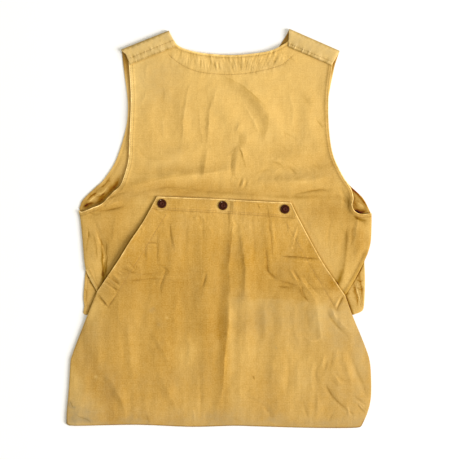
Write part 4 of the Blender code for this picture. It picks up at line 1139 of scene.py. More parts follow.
def back_shape(points, sizes):
    """Middle height, extra thickness and looks of the back."""
    x, y = points.T
    bent = wavering(points, 1.8, 34, 3.1)
    seam = distance(points, BODY_SEAM)
    loose = settled(seam) * clear_of(points, [BAG_OUTLINE, *FLAPS], *PRESSED_FLAT)
    creased, shading_tone = creases(points, BACK_LINES)
    shading_tone += FACET_SHADE_STRENGTH * facet_shading(points, BACK_SHADE_LINES)
    rough = roughness(points, BACK_ROUGH) * sizes["rumple"]
    groove, pucker, line = sewn(points, ROWS["back"])
    gathers = neck_gathers(points)
    slit = distance(points, SLITS[0])
    edge = distance(points, NECK_EDGE, *ARMHOLES, *SLITS)
    underarm = sum(height * np.exp(-np.hypot(x - across, y - along) ** 2 / reach**2)
                   for height, across, along, reach in CURLS)
    curled = underarm * np.exp(-edge / 8) * ease(seam, 0, 9)
    sunk = sizes["depth"] * np.where(creased > 0, creased * loose, creased * ease(seam, 0, 6))
    shape = folds(bent, BACK_FOLDS) * loose + sunk
    shape += (0.8 + rough) * loose + gathers * loose + curled
    level = body_underside(points)
    over_both = (x > -18) & (x < OVERLAP_COLUMNS[1] + 6)
    floor = np.minimum(level, np.where(over_both, OVER_BOTH_FRONTS, OVER_ONE_FRONT))
    under = above_floor(level + shape, floor)
    rise = hem(edge, 7.5, sizes["hem_rise"]) + groove + pucker * 0.6
    rise = np.where(loose < 0.02, np.minimum(rise, 0.3), rise)

    # Painted shadows beside the bag's edges, wide beside its left slant, beside the right slit and
    # the laps, and the painted shade and light of BACK_SHADE
    beside_bag = outside(points, BAG_OUTLINE)
    wide_shadow_side = (x < -108) & (y < 60)
    shadow = (np.where(y > 44, 0.5, 1.7) * bell(beside_bag, 2.1)
              + np.where(wide_shadow_side, 0.55 * bell(beside_bag, 14), 0)
              - patches(bent, BACK_SHADE) + 0.8 * bell(slit - 2.8, 3.4)
              + 0.4 * (1 - clear_of(points, FLAPS, 0.4, 3.6)))
    worn = bell(edge, 1.7) * (0.8 + 0.6 * ripple(points, 7, 7, 8.8))
    shaded_rim = ease(x, 120, 160)
    wide = wavering(points, 7, 42, 6.6)
    underarm_hem = ease(np.abs(x), 190, 225) * ease(y, 10, 20)
    left_hem = (1 - ease(x, -140, -110)) * ease(y, 50, 90)
    # How pale the cloth is: faded patches, some of them painted shade, worn rims, and painted light
    # along the left armhole's hem
    fade = (0.72 + patches(wide, BACK_FADE_AND_SHADE) + (0.75 - 0.5 * shaded_rim) * worn
            + 0.05 * ripple(points, 60, 60, 2.9) + 0.5 * underarm_hem * worn
            + left_hem * (0.3 * bell(edge, 8, 4) + 0.3 * bell(edge, 3)))
    soil = patches(wide, BACK_SOIL) + 0.08 * np.maximum(ripple(points, 38, 30, 4.3), 0)
    # How much the worn rims are lightened or darkened: wear and painted light, lighter on the left,
    # at the underarm hems and beside the right slit, darker on the right rims that face the window
    rim_light_and_wear = (0.6 + 0.5 * (x < 0) - 1.5 * shaded_rim + 2.4 * underarm_hem * shaded_rim
              + 0.9 * underarm_hem * (x < 0) + 0.5 * (slit < 4) * (y < -45) * shaded_rim)
    # Painted light along the left armhole's hem
    shadow -= left_hem * (0.15 * bell(edge, 8, 4) + 0.6 * bell(edge, 2.6))
    # Painted shading: light and shade of the creases, facets, neck gathers and puckers, darker
    # stitch rows and a darker line at the hems' inner edge, the painted shadows, the rims, and the
    # side seams' shade
    shading_and_wear = (0.95 * shading_tone + 0.75 * gathers - 0.4 * line + 0.6 * pucker - shadow + rim_light_and_wear * worn
              - seam_shade(x, seam, 1.7, 6) - 0.22 * bell(edge - 7.2, 1.3))
    return under + CLOTH / 2, rise, {"fade": fade, "soil": soil, "shading_and_wear": shading_and_wear}


def bag_rest(points):
    """Height at which the outer bag wall lies on what is under it."""
    seam = seam_level(points[:, 1]) + CLOTH + BAG_SEAM_GAP
    rest = HANGING_UNDERSIDE + (BAG_UNDERSIDE - HANGING_UNDERSIDE) * ease(points[:, 1], *BAG_RESTS)
    return seam, rest


def bag_shape(points, sizes):
    """Middle height, extra thickness and looks of the bag's outer wall."""
    x, y = points.T
    bent = wavering(points, 2.0, 36, 7.9)
    rim = distance(points, BAG_SEAM)
    ring = from_snaps(points)
    off_snaps = ease(ring, *SNAP_PAD)
    slack = ease(rim, *BAG_SWELL) * off_snaps
    creased, shading_tone = creases(points, BAG_LINES)
    shading_tone += FACET_SHADE_STRENGTH * facet_shading(points, BAG_SHADE_LINES)
    rough = roughness(points, BAG_ROUGH) * sizes["rumple"]
    groove, pucker, line = sewn(points, ROWS["bag_outer"])
    slant = distance(points, *BAG_FREE_EDGES)
    top = distance(points, smooth(BAG_TOP))
    free = np.minimum(slant, top)
    lifted = np.exp(-slant / 13) * bell(y + 40, 52)
    lifted *= np.where(x < 0, 3.2, 1.3)
    lifted += 0.7 * np.exp(-top / 9) * off_snaps
    seam, rest = bag_rest(points)
    level = seam + (rest + 1.2 * slack - seam) * settled(rim)
    shape = (folds(bent, BAG_FOLDS) * slack + lifted + rough * off_snaps * ease(rim, 0, 8)
             + sizes["depth"] * creased * ease(rim, 0, 7) * ease(ring, 8, 16))
    floor = np.where(y > STEP_DOWN[0], BACK_UNDERSIDE, INNER_WALL_LEVEL) + CLOTH + BAG_CLEARANCE
    under = above_floor(level + shape, np.minimum(floor, level))
    hem_line = distance(points, smooth(BAG_HEM_ROW))
    upper = np.interp(x, *np.array(BAG_HEM_ROW).T) < y
    facing = np.where(x < 0, *BAG_FACINGS)
    rise = np.maximum(hem(slant - facing, 0, 0.5 * sizes["hem_rise"]),
                      hem(top, BAG_TOP_HEM, 0.7 * sizes["hem_rise"]))
    rise = (rise + hem(free, 2.2, 0.25) + groove + pucker * 0.6 * off_snaps
            - 0.25 * bell(ring - 9.6, 1.6))

    wide = wavering(points, 7, 40, 14.6)
    below = np.interp(x, *np.array(WASHED).T) - y
    washed = ease(distance(points, smooth(WASHED)) + 2.5 * ripple(points, 14, 9, 33.3), 0, 9)
    sideways = ease(x, *WASHED_COLUMNS[:2]) * (1 - ease(x, *WASHED_COLUMNS[2:]))
    pale_zone = sideways * np.where(below > 0, washed, 0) * (1 - ease(below, *WASHED_DEPTH))
    worn = bell(free - 0.9, 1.5) * (0.85 + 0.45 * ripple(points, 8, 8, 18.8))
    worn *= 1 + 0.4 * (top < 4)
    frayed = bell(rim, 1.6) * (0.5 + 0.5 * ripple(points, 10, 10, 28.8))
    high, low, right = ease(y, -90, -50), 1 - ease(y, -340, -200), ease(x, 190, 250)
    fade = (0.16 + patches(wide, BAG_FADE_AND_SHADE) + WASHED_AMOUNT * pale_zone + 0.8 * worn + 0.2 * frayed
            + patches(points, BAG_SPECKS) + 0.07 * ripple(points, 55, 75, 12.9)
            + 0.34 * bell(ring - 11, 2.4) - 0.15 * high)
    soil = (patches(wavering(points, 3, 12, 21.1), BAG_SOIL) + 0.12 * pale_zone
            + 0.1 * low + 0.16 * right + 0.12 * np.maximum(ripple(points, 36, 46, 24.3), 0))
    faint = np.where(slant < 5, 0.1,
                     np.where((slant > 18) & (top > 12) & (y > -118), 0.16, 0.4))
    # Painted shading: light and shade of the creases, facets and puckers, darker stitch rows and
    # hem row, a painted shadow ring round each snap, worn edges lighter, the side seams' shade, a
    # painted shadow along the bottom edge and round the rim, and lighter towards the top, the
    # bottom and the right
    shading_and_wear = (0.95 * shading_tone - faint * line - 0.45 * bell(hem_line, 0.9) - 0.7 * bell(ring - 8.4, 1.1)
              + 0.6 * pucker + 0.5 * worn - seam_shade(x, rim, 1.9, 5)
              - 1.7 * (y < -344) * bell(rim, 1.4) - 0.35 * bell(rim - 0.6, 1.2)
              + 0.1 * ripple(points, 8, 60, 31.7) + 0.3 * high + 0.12 * low + 0.16 * right
              + 0.1 * np.where(upper, bell(hem_line - 5, 3), 0))
    return under + CLOTH / 2, rise, {"fade": fade, "soil": soil, "shading_and_wear": shading_and_wear}


def inner_bag_shape(points, sizes):
    """Middle height, extra thickness and looks of the bag's hidden inner wall."""
    loose = settled(distance(points, BODY_SEAM)) * ease(-points[:, 1], 176, 192)
    soft = (0.5 + 0.5 * ripple(points, 60, 90, 40.1)) * loose * 0.9
    under = body_underside(points) + soft
    rough = 0.1 * ripple(points, 9, 12, 41.2) * loose
    # Painted shade on the hidden wall: darker all over, lighter where it bulges
    looks = {"fade": 0.24 + 0.1 * ripple(points, 50, 60, 42.3),
             "soil": 0.1 + 0.12 * np.maximum(ripple(points, 40, 30, 43.4), 0),
             "shading_and_wear": 0.3 * soft - 0.25}
    return under + CLOTH / 2, rough, looks


def facing_shape(points, sizes):
    """Middle height, extra thickness and looks of the facing inside the neck."""
    still = np.zeros(len(points))
    looks = {"fade": 0.5 + 0.06 * ripple(points, 30, 30, 50.1), "soil": still + 0.1,
             "shading_and_wear": still - 0.05}
    return still + FACING_UNDERSIDE + FACING_CLOTH / 2, still, looks


BAND_MIDDLE = shifted(NECK_EDGE, -18)
GATHER_LINES = [shifted(smooth(NECK, 1.3), -depth) for depth in (10, 16, 22, 28, 34, 40)]


def lay_panel(name, loop, shape, sizes, thickness=CLOTH, **mesh_options):
    """Make a piece that lies flat from its outline and its shape function."""
    cut, faces = fill(loop, **mesh_options)
    height, rise, looks = shape(cut, sizes)
    middle = np.column_stack((cut, height))
    up = np.tile((0.0, 0.0, 1.0), (len(cut), 1))
    half = np.full(len(cut), thickness / 2)
    return shell(name, cut, faces, middle, up, half + rise, half, looks)


def front_height(places, overlaps):
    """How far a front's flat part rises off the floor, and how far it would with more room."""
    room = settled(distance(places, BODY_SEAM)) * (1 - ease(places[:, 1], *FRONT_FLATTENS))
    if overlaps:
        room = room * ease(places[:, 0], OVERLAP_COLUMNS[0] - 2, OVERLAP_COLUMNS[1] + 14)
    soft = creases(places, FRONT_LINES)[0]
    soft += 0.3 * (1 + ripple(places, 40, 52, 61.1)) + 0.08 * (1 + ripple(places, 13, 16, 62.2))
    return np.minimum(soft, FRONT_ROOM) * room, soft


def lay_front(name, edges, flap, spacing, overlaps=False):
    """Make a front whose shoulder folds over and laps on to the back.

    The piece is cut out flat, with the flap opened out past the fold, and is then rolled over.
    """
    base, tip = np.array(flap[0]), np.array(flap[-1])
    along = (tip - base) / np.hypot(*(tip - base))
    out = np.array((-along[1], along[0])) * np.sign(along[0])
    turn = math.pi * SHOULDER_RADIUS

    def opened(points):
        points = np.array(points)
        return points + out * (turn - 2 * ((points - base) @ out))[:, None]

    loop = outline(*edges, *corners([base, *opened(flap), tip]))
    ridge = smooth([base + out * turn / 2, tip + out * turn / 2], 2.4)
    rows = [*ROWS[name], *map(opened, LAP_ROWS[name]), ridge]
    cut, faces = fill(loop, spacing, depths=(1.2, 7.4), rows=rows, lines=sharp(FRONT_SHADE_LINES))
    reach = (cut - base) @ out
    angle = np.clip(reach / SHOULDER_RADIUS, 0, math.pi)
    past_fold = np.maximum(reach - turn, 0)
    sideways = SHOULDER_RADIUS * np.sin(angle) - past_fold - np.maximum(reach, 0)
    places = cut + sideways[:, None] * out
    x, y = places.T
    height = CLOTH / 2 + SHOULDER_RADIUS * (1 - np.cos(angle))
    flat = reach < 0
    if overlaps:
        height += np.where(flat, OVERLAP_LIFT * (1 - ease(cut[:, 0], *OVERLAP_COLUMNS)), 0)
    lift, soft = front_height(places, overlaps)
    on_flap = ease(reach, turn, turn + 5)
    lapped = (0.12 + 0.14 * ripple(places, 16, 14, 66.1)) * on_flap
    height += np.where(flat, lift, 0) + lapped
    middle = np.column_stack((places, height))
    normal = np.column_stack((-np.sin(angle)[:, None] * out, np.cos(angle)))

    groove, pucker, line = sewn(places, LAP_ROWS[name])
    inner_groove, _, inner_line = sewn(cut, ROWS[name])
    lap_edge = distance(places, np.array(flap[1:3] if overlaps else flap[3:5]))
    free = distance(cut, closed(loop))
    lined, lap_shading = creases(places, LAP_LINES)
    outer = on_flap * (0.6 * groove + 1.6 * pucker + hem(free, 8, 0.25) + 0.6 * lined)
    above = CLOTH / 2 + np.where(flat, np.clip(inner_groove, -0.25, 0), 0)
    below = CLOTH / 2 + outer + np.where(flat, np.clip(inner_groove, -0.2, 0), 0)

    worn = bell(free, 1.6) * (0.6 + 0.5 * ripple(places, 9, 9, 68.8))
    shown = ease(reach, 0.3 * turn, 0.5 * turn)
    strip = ease(y, *ARMHOLE_STRIP[:2]) * (1 - 1.6 * ease(y, *ARMHOLE_STRIP[2:])) * flat
    # Painted shade and light of the facets inside the fronts
    front_facet_shade = np.where(flat, facet_shading(places, FRONT_SHADE_LINES), 0)
    from_ridge = reach - turn / 2
    # How pale the cloth is: faded laps and corners, worn rims, painted light on the strips inside
    # the armholes and along the painted facets, and the shoulder fold paler from wear and painted
    # light
    fade = (0.2 + 0.42 * strip + 1.05 * shown + 0.3 * worn + 0.3 * ease(-y, 40, 70)
            + 0.08 * ripple(places, 30, 30, 69.9) + 1.1 * front_facet_shade + 0.3 * bell(from_ridge, 3.4))
    soil = 0.06 + 0.42 * shown + 0.1 * np.maximum(ripple(places, 24, 30, 70.3), 0)
    # Painted shadows beside the slits, the bag's seam and the back's armholes, and painted light on
    # the strips inside the armholes
    over = distance(places, *SLITS, BAG_SEAM)
    low_right = (x > 0) & (y < -116)
    shadow = (np.where(low_right, 3, 2.2) * bell(over, np.where(low_right, 3, 1.7))
              + 1.3 * bell(distance(places, *ARMHOLES), 1.5)
              - strip * (0.3 + 0.9 * bell(free, 2.6)))
    # Painted shading: the fronts' soft relief, darker stitch rows, the painted shadows, the
    # underarm hems' painted shade, the facets, the laps' puckers and creases with a painted dark
    # line along their lower edges, painted light on the folded shoulders with a painted dark line
    # along the fold's outer side, and worn rims lighter, most at the right underarm
    shading_and_wear = (np.where(flat, 0.5 * (soft - 0.5) - 0.4 * inner_line - shadow
                       - 0.4 * patches(places, UNDERARM_SHADE) + 0.5 * front_facet_shade, 0)
              + on_flap * (2.2 * pucker - 0.4 * line + 0.6 * lap_shading
                           + 0.5 * worn * ease(lap_edge, 3, 6) * (reach > turn)
                           - 1.2 * bell(lap_edge, 1.2))
              + shown * (0.12 + 0.35 * bell(from_ridge, 7))
              + (0.3 + 1.4 * ease(x, 225, 240) * ease(y, 32, 42)) * worn * flat
              - 1.8 * bell(from_ridge, 2.4))
    return shell(name + "_cloth", cut, faces, middle, normal, above, below,
                 {"fade": fade, "soil": soil, "shading_and_wear": shading_and_wear}), loop


def wire(tree, node, wires):
    """Link or set the inputs that are named in wires."""
    for name, value in wires.items():
        if isinstance(value, bpy.types.NodeSocket):
            tree.links.new(value, node.inputs[name])
        else:
            node.inputs[name].default_value = value
    return node


def add_node(tree, kind, wires=None, **settings):
    """Add a shader node with its settings and inputs."""
    node = tree.nodes.new("ShaderNode" + kind)
    for name, value in settings.items():
        setattr(node, name, value)
    return wire(tree, node, wires or {})


def math_node(tree, operation, *values, clamp=False):
    return add_node(tree, "Math", dict(enumerate(values)), operation=operation,
                    use_clamp=clamp).outputs[0]


def vector_node(tree, operation, *values):
    return add_node(tree, "VectorMath", dict(enumerate(values)), operation=operation).outputs[0]


def noise_node(tree, place, scale, detail=2.0, **more):
    """The two outputs of a noise: its value and its colour."""
    wires = {"Vector": place, "Scale": scale, "Detail": detail, **more}
    return add_node(tree, "TexNoise", wires).outputs


def mixed(tree, share, first, second, **settings):
    """The colour that lies a share of the way from the first to the second."""
    wires = {0: share, 6: first, 7: second}
    return add_node(tree, "Mix", wires, data_type="RGBA", **settings).outputs[2]


def bump(tree, strength, depth, height, **more):
    wires = {"Strength": strength, "Distance": depth, "Height": height, **more}
    return add_node(tree, "Bump", wires).outputs[0]


def new_group(name, inputs, outputs):
    """A shader node group, its input sockets by name, and its end node.

    An input with no default is a vector, and one with a tuple is a colour.
    """
    kinds = {float: "NodeSocketFloat", tuple: "NodeSocketColor", type(None): "NodeSocketVector"}
    group = bpy.data.node_groups.new(name, "ShaderNodeTree")
    for label, default in inputs.items():
        socket = group.interface.new_socket(
            name=label, in_out="INPUT", socket_type=kinds[type(default)])
        if default is not None:
            socket.default_value = default
    for label in outputs:
        kind = kinds[tuple if label == "Color" else float]
        group.interface.new_socket(name=label, in_out="OUTPUT", socket_type=kind)
    enter, leave = (group.nodes.new("NodeGroup" + end) for end in ("Input", "Output"))
    return group, enter.outputs, leave


def place_group(tree, name, wires):
    """Place a group in a material, and give its outputs."""
    return add_node(tree, "Group", wires, node_tree=bpy.data.node_groups[name]).outputs


def stretched_noise(tree, place, scale, detail=2.0):
    """Noise with its own scale along each axis."""
    return noise_node(tree, vector_node(tree, "MULTIPLY", place, scale), 1.0, detail)[0]


def make_weave_group():
    """Plain duck weave: yarns that pass over and under, not quite evenly spun."""
    group, given, leave = new_group("duck_weave", {"Place": None, "Pitch": 0.00085}, ["Height"])
    wander = noise_node(group, given["Place"], 260.0, 1.0)[1]
    wander = vector_node(group, "MULTIPLY", wander, (0.0004, 0.0004, 0))
    moved = vector_node(group, "ADD", given["Place"], wander)
    waves = []
    for part in add_node(group, "SeparateXYZ", {0: moved}).outputs[:2]:
        turns = math_node(group, "DIVIDE", part, given["Pitch"])
        waves.append(math_node(group, "SINE", math_node(group, "MULTIPLY", turns, math.pi)))
    height = math_node(group, "MULTIPLY", *waves)
    wire(group, leave, {"Height": math_node(group, "MULTIPLY_ADD", height, 0.5, 0.5)})


def make_streak_group():
    """Uneven yarns that show as short lighter and darker lines both ways of the weave."""
    group, given, leave = new_group(
        "yarn_streaks", {"Place": None}, ["Streak", "Mottle", "Grain"])
    place = given["Place"]
    warp = stretched_noise(group, place, (560, 15, 1))
    weft = stretched_noise(group, place, (16, 520, 1))
    mottle = noise_node(group, place, 75.0, 5.0, Roughness=0.62)[0]
    grain = stretched_noise(group, place, (430, 430, 1))
    wire(group, leave, {
        "Streak": math_node(group, "SUBTRACT", math_node(group, "ADD", warp, weft), 1.0),
        "Mottle": math_node(group, "SUBTRACT", mottle, 0.5),
        "Grain": math_node(group, "SUBTRACT", grain, 0.5)})


def make_crumple_group():
    """Slight sharp-ridged crumples of cloth that has been worn and washed often."""
    group, given, leave = new_group("fine_crumple", {"Place": None}, ["Height"])
    ridges = []
    for scale, height in (((44, 30, 1), 0.9), ((120, 96, 1), 0.35)):
        value = stretched_noise(group, given["Place"], scale, 1.0)
        ridge = math_node(group, "ABSOLUTE", math_node(group, "SUBTRACT", value, 0.5))
        ridges.append(math_node(group, "MULTIPLY", ridge, height))
    wire(group, leave, {"Height": math_node(group, "ADD", *ridges)})


def make_cloth_colour_group():
    """Colour of worn canvas from how faded and soiled it is, darkened or lightened by the painted
    shading, which also carries some edge wear.
    """
    black, white = (0, 0, 0, 1), (1, 1, 1, 1)
    group, given, leave = new_group(
        "worn_canvas_colour",
        {"Fade": 0.5, "Soil": 0.0, "Shading_And_Wear": 0.0, "Streak": 0.0, "Mottle": 0.0, "Grain": 0.0,
         "Deep": black, "Pale": white, "Soiled": black}, ["Color"])
    grain = math_node(group, "MULTIPLY", given["Streak"], 0.26)
    grain = math_node(group, "MULTIPLY_ADD", given["Mottle"], 0.42, grain)
    grain = math_node(group, "MULTIPLY_ADD", given["Grain"], 0.9, grain)
    faded = math_node(group, "ADD", given["Fade"], grain)
    cloth = mixed(group, faded, given["Deep"], given["Pale"], clamp_factor=False)
    dirt = math_node(group, "MULTIPLY_ADD", given["Mottle"], 1.6, 1.0)
    dirt = math_node(group, "MULTIPLY", given["Soil"], dirt, clamp=True)
    dirt = math_node(group, "MULTIPLY", dirt, 0.8)
    dirty = mixed(group, dirt, cloth, given["Soiled"])
    # Painted shade and light: the shading value darkens or lightens the colour
    shading_tone = vector_node(group, "MULTIPLY_ADD", given["Shading_And_Wear"], (0.3, 0.35, 0.54), (1, 1, 1))
    kept = vector_node(group, "MAXIMUM", shading_tone, (0.1, 0.05, 0.01))
    wire(group, leave, {"Color": vector_node(group, "MULTIPLY", dirty, kept)})


def make_edge_wear_group():
    """Patchy wear: where it reaches through, as a mask."""
    group, given, leave = new_group(
        "rubbed_edge", {"Place": None, "Amount": 0.5, "Scale": 400.0}, ["Mask"])
    spots = noise_node(group, given["Place"], given["Scale"], 3.0)[0]
    over = math_node(group, "ADD", spots, given["Amount"])
    mask = add_node(group, "MapRange", {"Value": over, "From Min": 0.82, "From Max": 1.12},
                    interpolation_type="SMOOTHSTEP")
    wire(group, leave, {"Mask": mask.outputs[0]})


def new_material(name):
    material = bpy.data.materials.new(name)
    material.use_nodes = True
    return material, material.node_tree, material.node_tree.nodes["Principled BSDF"]


def canvas_material(cloth):
    """Worn cotton duck, faded and soiled, with painted shade and light, as the piece's own values
    say.
    """
    material, tree, shader = new_material("worn_canvas")
    place = add_node(tree, "Attribute", attribute_name="cut").outputs["Vector"]
    looks = {look.title(): add_node(tree, "Attribute", attribute_name=look).outputs["Fac"]
             for look in ("fade", "soil", "shading_and_wear")}
    yarn = place_group(tree, "yarn_streaks", {"Place": place})
    yarn = {name: yarn[name] for name in ("Streak", "Mottle", "Grain")}
    colour = place_group(tree, "worn_canvas_colour", {
        **looks, **yarn, "Deep": (*cloth.deep, 1), "Pale": (*cloth.pale, 1),
        "Soiled": (*cloth.soiled, 1)})
    rough = add_node(tree, "MapRange", {"Value": yarn["Mottle"], "From Min": -0.3,
                                        "From Max": 0.3, "To Min": 0.94, "To Max": 0.8})
    weave = place_group(tree, "duck_weave", {"Place": place, "Pitch": cloth.thread_pitch})
    height = math_node(tree, "MULTIPLY_ADD", yarn["Streak"], 0.9, weave["Height"])
    height = math_node(tree, "MULTIPLY_ADD", yarn["Mottle"], 0.9, height)
    crumple = place_group(tree, "fine_crumple", {"Place": place})
    crumpled = bump(tree, 1.0, 0.001, crumple["Height"])
    wire(tree, shader, {
        "Base Color": colour["Color"], "Roughness": rough.outputs[0],
        "Normal": bump(tree, 0.55, 0.0002, height, Normal=crumpled),
        "Sheen Weight": 0.05, "Sheen Roughness": 0.5, "Specular IOR Level": 0.18})
    return material


def thread_material(stitching):
    """Twisted cotton thread, darker where it is soiled."""
    material, tree, shader = new_material("sewing_thread")
    place = add_node(tree, "TexCoord").outputs["Object"]
    dark, light = ((*[share * part for part in stitching.colour], 1) for share in (0.62, 1.35))
    twist = add_node(tree, "TexWave", {"Vector": place, "Scale": 900.0, "Distortion": 0.4},
                     bands_direction="DIAGONAL")
    wire(tree, shader, {
        "Base Color": mixed(tree, noise_node(tree, place, 160.0, 3.0)[0], dark, light),
        "Normal": bump(tree, 0.5, 0.00008, twist.outputs[1]),
        "Roughness": 0.8, "Sheen Weight": 0.1})
    return material


def enamel_material(snaps):
    """Baked enamel on a pressed cap, rubbed thin on its raised rings, with a painted highlight spot
    in a pale metal colour on some caps' rims.
    """
    material, tree, shader = new_material("cap_enamel")
    place = add_node(tree, "TexCoord").outputs["Object"]
    # Wear of the raised rings, and above about 0.9 the painted highlight spot
    rubbed = add_node(tree, "Attribute", attribute_name="rubbed").outputs["Fac"]
    wear = place_group(tree, "rubbed_edge", {"Place": place, "Amount": rubbed, "Scale": 900.0})
    worn = mixed(tree, wear["Mask"], (*snaps.enamel, 1), (*snaps.worn, 1))
    # Where the painted highlight spot shows, in a pale metal colour
    painted_glint = add_node(tree, "MapRange", {"Value": rubbed, "From Min": 0.9, "From Max": 1.2})
    rough = add_node(tree, "MapRange", {"Value": wear["Mask"], "To Min": 0.3, "To Max": 0.55})
    pits = noise_node(tree, place, 1400.0)[0]
    wire(tree, shader, {
        "Base Color": mixed(tree, painted_glint.outputs[0], worn, (*snaps.painted_glint, 1)),
        "Roughness": rough.outputs[0], "Normal": bump(tree, 0.25, 0.0001, pits),
        "Specular IOR Level": 0.07})
    return material


def shared(name, make, *values):
    """The material of that name, made the first time that it is asked for."""
    return bpy.data.materials.get(name) or make(*values)


def vest(context):
    """The sizes of the cloth in millimetres and the groups of settings."""
    scene = context.scene
    cloth = scene.vest_cloth
    return cloth, {"rumple": cloth.rumple / MM, "hem_rise": cloth.hem_rise / MM,
                   "depth": cloth.crease_depth}


def wear_canvas(piece, context):
    piece.data.materials.append(shared("worn_canvas", canvas_material, context.scene.vest_cloth))
    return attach(piece, "root")


class VEST_OT_back(bpy.types.Operator):
    """Make the back, which lies over the fronts and under the bag's flap"""
    bl_idname = "vest.back"
    bl_label = "Back"

    def execute(self, context):
        cloth, sizes = vest(context)
        loop = outline(NECK, BACK_RIGHT_SHOULDER, BACK_RIGHT_ARMHOLE, RIGHT_SIDE, RIGHT_SLIT,
                       *corners(WAIST), LEFT_SLIT, LEFT_SIDE, BACK_LEFT_ARMHOLE,
                       BACK_LEFT_SHOULDER)
        piece = lay_panel("back_cloth", loop, back_shape, sizes, spacing=cloth.spacing / MM,
                          depths=(1.1, 7.4, 8.6), rows=ROWS["back"],
                          lines=sharp(BACK_LINES) + sharp(BACK_SHADE_LINES) + GATHER_LINES)
        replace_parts(wear_canvas(piece, context), "back")
        return {"FINISHED"}


class VEST_OT_bag(bpy.types.Operator):
    """Make the two walls of the bag, open along its top between the slanted edges"""
    bl_idname = "vest.bag"
    bl_label = "Bag"

    def execute(self, context):
        cloth, sizes = vest(context)
        outer = lay_panel("bag_outer_cloth", BAG_OUTLINE, bag_shape, sizes,
                          spacing=cloth.spacing / MM, depths=(1.1, 2.6, 4.2),
                          rows=ROWS["bag_outer"], lines=sharp(BAG_LINES) + sharp(BAG_SHADE_LINES))
        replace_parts(wear_canvas(outer, context), "bag_outer")
        seam = [tuple(point) for point in shifted(WAIST, SEAM_GAP)]
        loop = outline(*corners(seam[::-1]), seam[:1] + BAG_RIGHT_FLARE[1:], BAG_BOTTOM,
                       BAG_LEFT_FLARE[:-1] + seam[-1:])
        inner = lay_panel("bag_inner_cloth", loop, inner_bag_shape, sizes,
                          spacing=cloth.hidden_spacing / MM, depths=(1.2,))
        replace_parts(wear_canvas(inner, context), "bag_inner")
        return {"FINISHED"}


class VEST_OT_fronts(bpy.types.Operator):
    """Make the two fronts, whose shoulders fold over and lap on to the back"""
    bl_idname = "vest.fronts"
    bl_label = "Fronts"

    def execute(self, context):
        spacing = context.scene.vest_cloth.hidden_spacing / MM
        left = (FRONT_LEFT_EDGE, FRONT_LEFT_CLOSURE, FRONT_LEFT_HEM, FRONT_LEFT_CORNER,
                FRONT_LEFT_SIDE, FRONT_LEFT_ARMHOLE)
        right = (FRONT_RIGHT_ARMHOLE, FRONT_RIGHT_SIDE, FRONT_RIGHT_CORNER, FRONT_RIGHT_HEM,
                 FRONT_RIGHT_CLOSURE, FRONT_RIGHT_EDGE)
        for name, edges, flap, overlaps in (("front_left", left, LEFT_FLAP, False),
                                            ("front_right", right, RIGHT_FLAP, True)):
            piece, loop = lay_front(name, edges, flap, spacing, overlaps)
            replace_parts(wear_canvas(piece, context), name)
        return {"FINISHED"}


class VEST_OT_facing(bpy.types.Operator):
    """Make the facing inside the back of the neck"""
    bl_idname = "vest.facing"
    bl_label = "Neck facing"

    def execute(self, context):
        cloth, sizes = vest(context)
        loop = outline(NECK[1:-1], BAND)
        piece = lay_panel("neck_facing_cloth", loop, facing_shape, sizes, thickness=FACING_CLOTH,
                          spacing=cloth.hidden_spacing / MM, depths=(1.2,))
        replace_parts(wear_canvas(piece, context), "neck_facing")
        return {"FINISHED"}


def thread_rings(centre, forward, side, up, stitching, proud):
    """Corners of one short arched piece of thread that dips into the cloth at both ends."""
    thick = stitching.thickness / 2
    turns = np.arange(THREAD_SIDES) * math.tau / THREAD_SIDES
    rings = []
    for share, fat, lift in ((-0.5, 0.3, -0.9), (-0.28, 1, proud), (0.28, 1, proud),
                             (0.5, 0.3, -0.9)):
        middle = centre + forward * share * stitching.length + up * lift * thick
        rings += [middle + (side * math.cos(turn) + up * math.sin(turn)) * thick * fat
                  for turn in turns]
    return rings


def thread_faces(base):
    """Faces of one piece of thread, from the number of its first corner."""
    turn = range(THREAD_SIDES)
    walls = [(ring + i, ring + (i + 1) % THREAD_SIDES,
              ring + THREAD_SIDES + (i + 1) % THREAD_SIDES, ring + THREAD_SIDES + i)
             for ring in range(base, base + 3 * THREAD_SIDES, THREAD_SIDES) for i in turn]
    return [*walls, tuple(base + i for i in reversed(turn)),
            tuple(base + 3 * THREAD_SIDES + i for i in turn)]


def sew(name, work, stitching):
    """Join every stitch of the given rows into one mesh, each lying on its piece's surface."""
    vertices, polygons = [], []
    for piece, rows, height in work:
        mesh = piece.data
        tree = BVHTree.FromPolygons([v.co for v in mesh.vertices],
                                    [tuple(p.vertices) for p in mesh.polygons])
        down = Vector((0, 0, -height)).normalized()
        for row in rows:
            reached = travelled(row) * MM
            for place in np.arange(stitching.pitch, reached[-1] - stitching.pitch / 2,
                                   stitching.pitch):
                spot, ahead = (
                    Vector([np.interp(at, reached, row[:, axis]) * MM for axis in (0, 1)])
                    for at in (place, place + stitching.pitch / 4))
                hit, up, *_ = tree.ray_cast(Vector((*spot, height)), down)
                if hit is None or abs(up.z) < STEEPEST_SEWN:
                    continue
                if up.dot(down) > 0:
                    up = -up
                forward = Vector((*(ahead - spot), 0)).normalized()
                forward = (forward - up * forward.dot(up)).normalized()
                polygons += thread_faces(len(vertices))
                vertices += thread_rings(hit, forward, up.cross(forward), up, stitching,
                                         PROUD if height > 0 else SUNK)
    made = bpy.data.meshes.new(name)
    made.from_pydata(vertices, [], polygons)
    made.shade_smooth()
    thread = bpy.data.objects.new(name, made)
    bpy.context.scene.collection.objects.link(thread)
    return thread


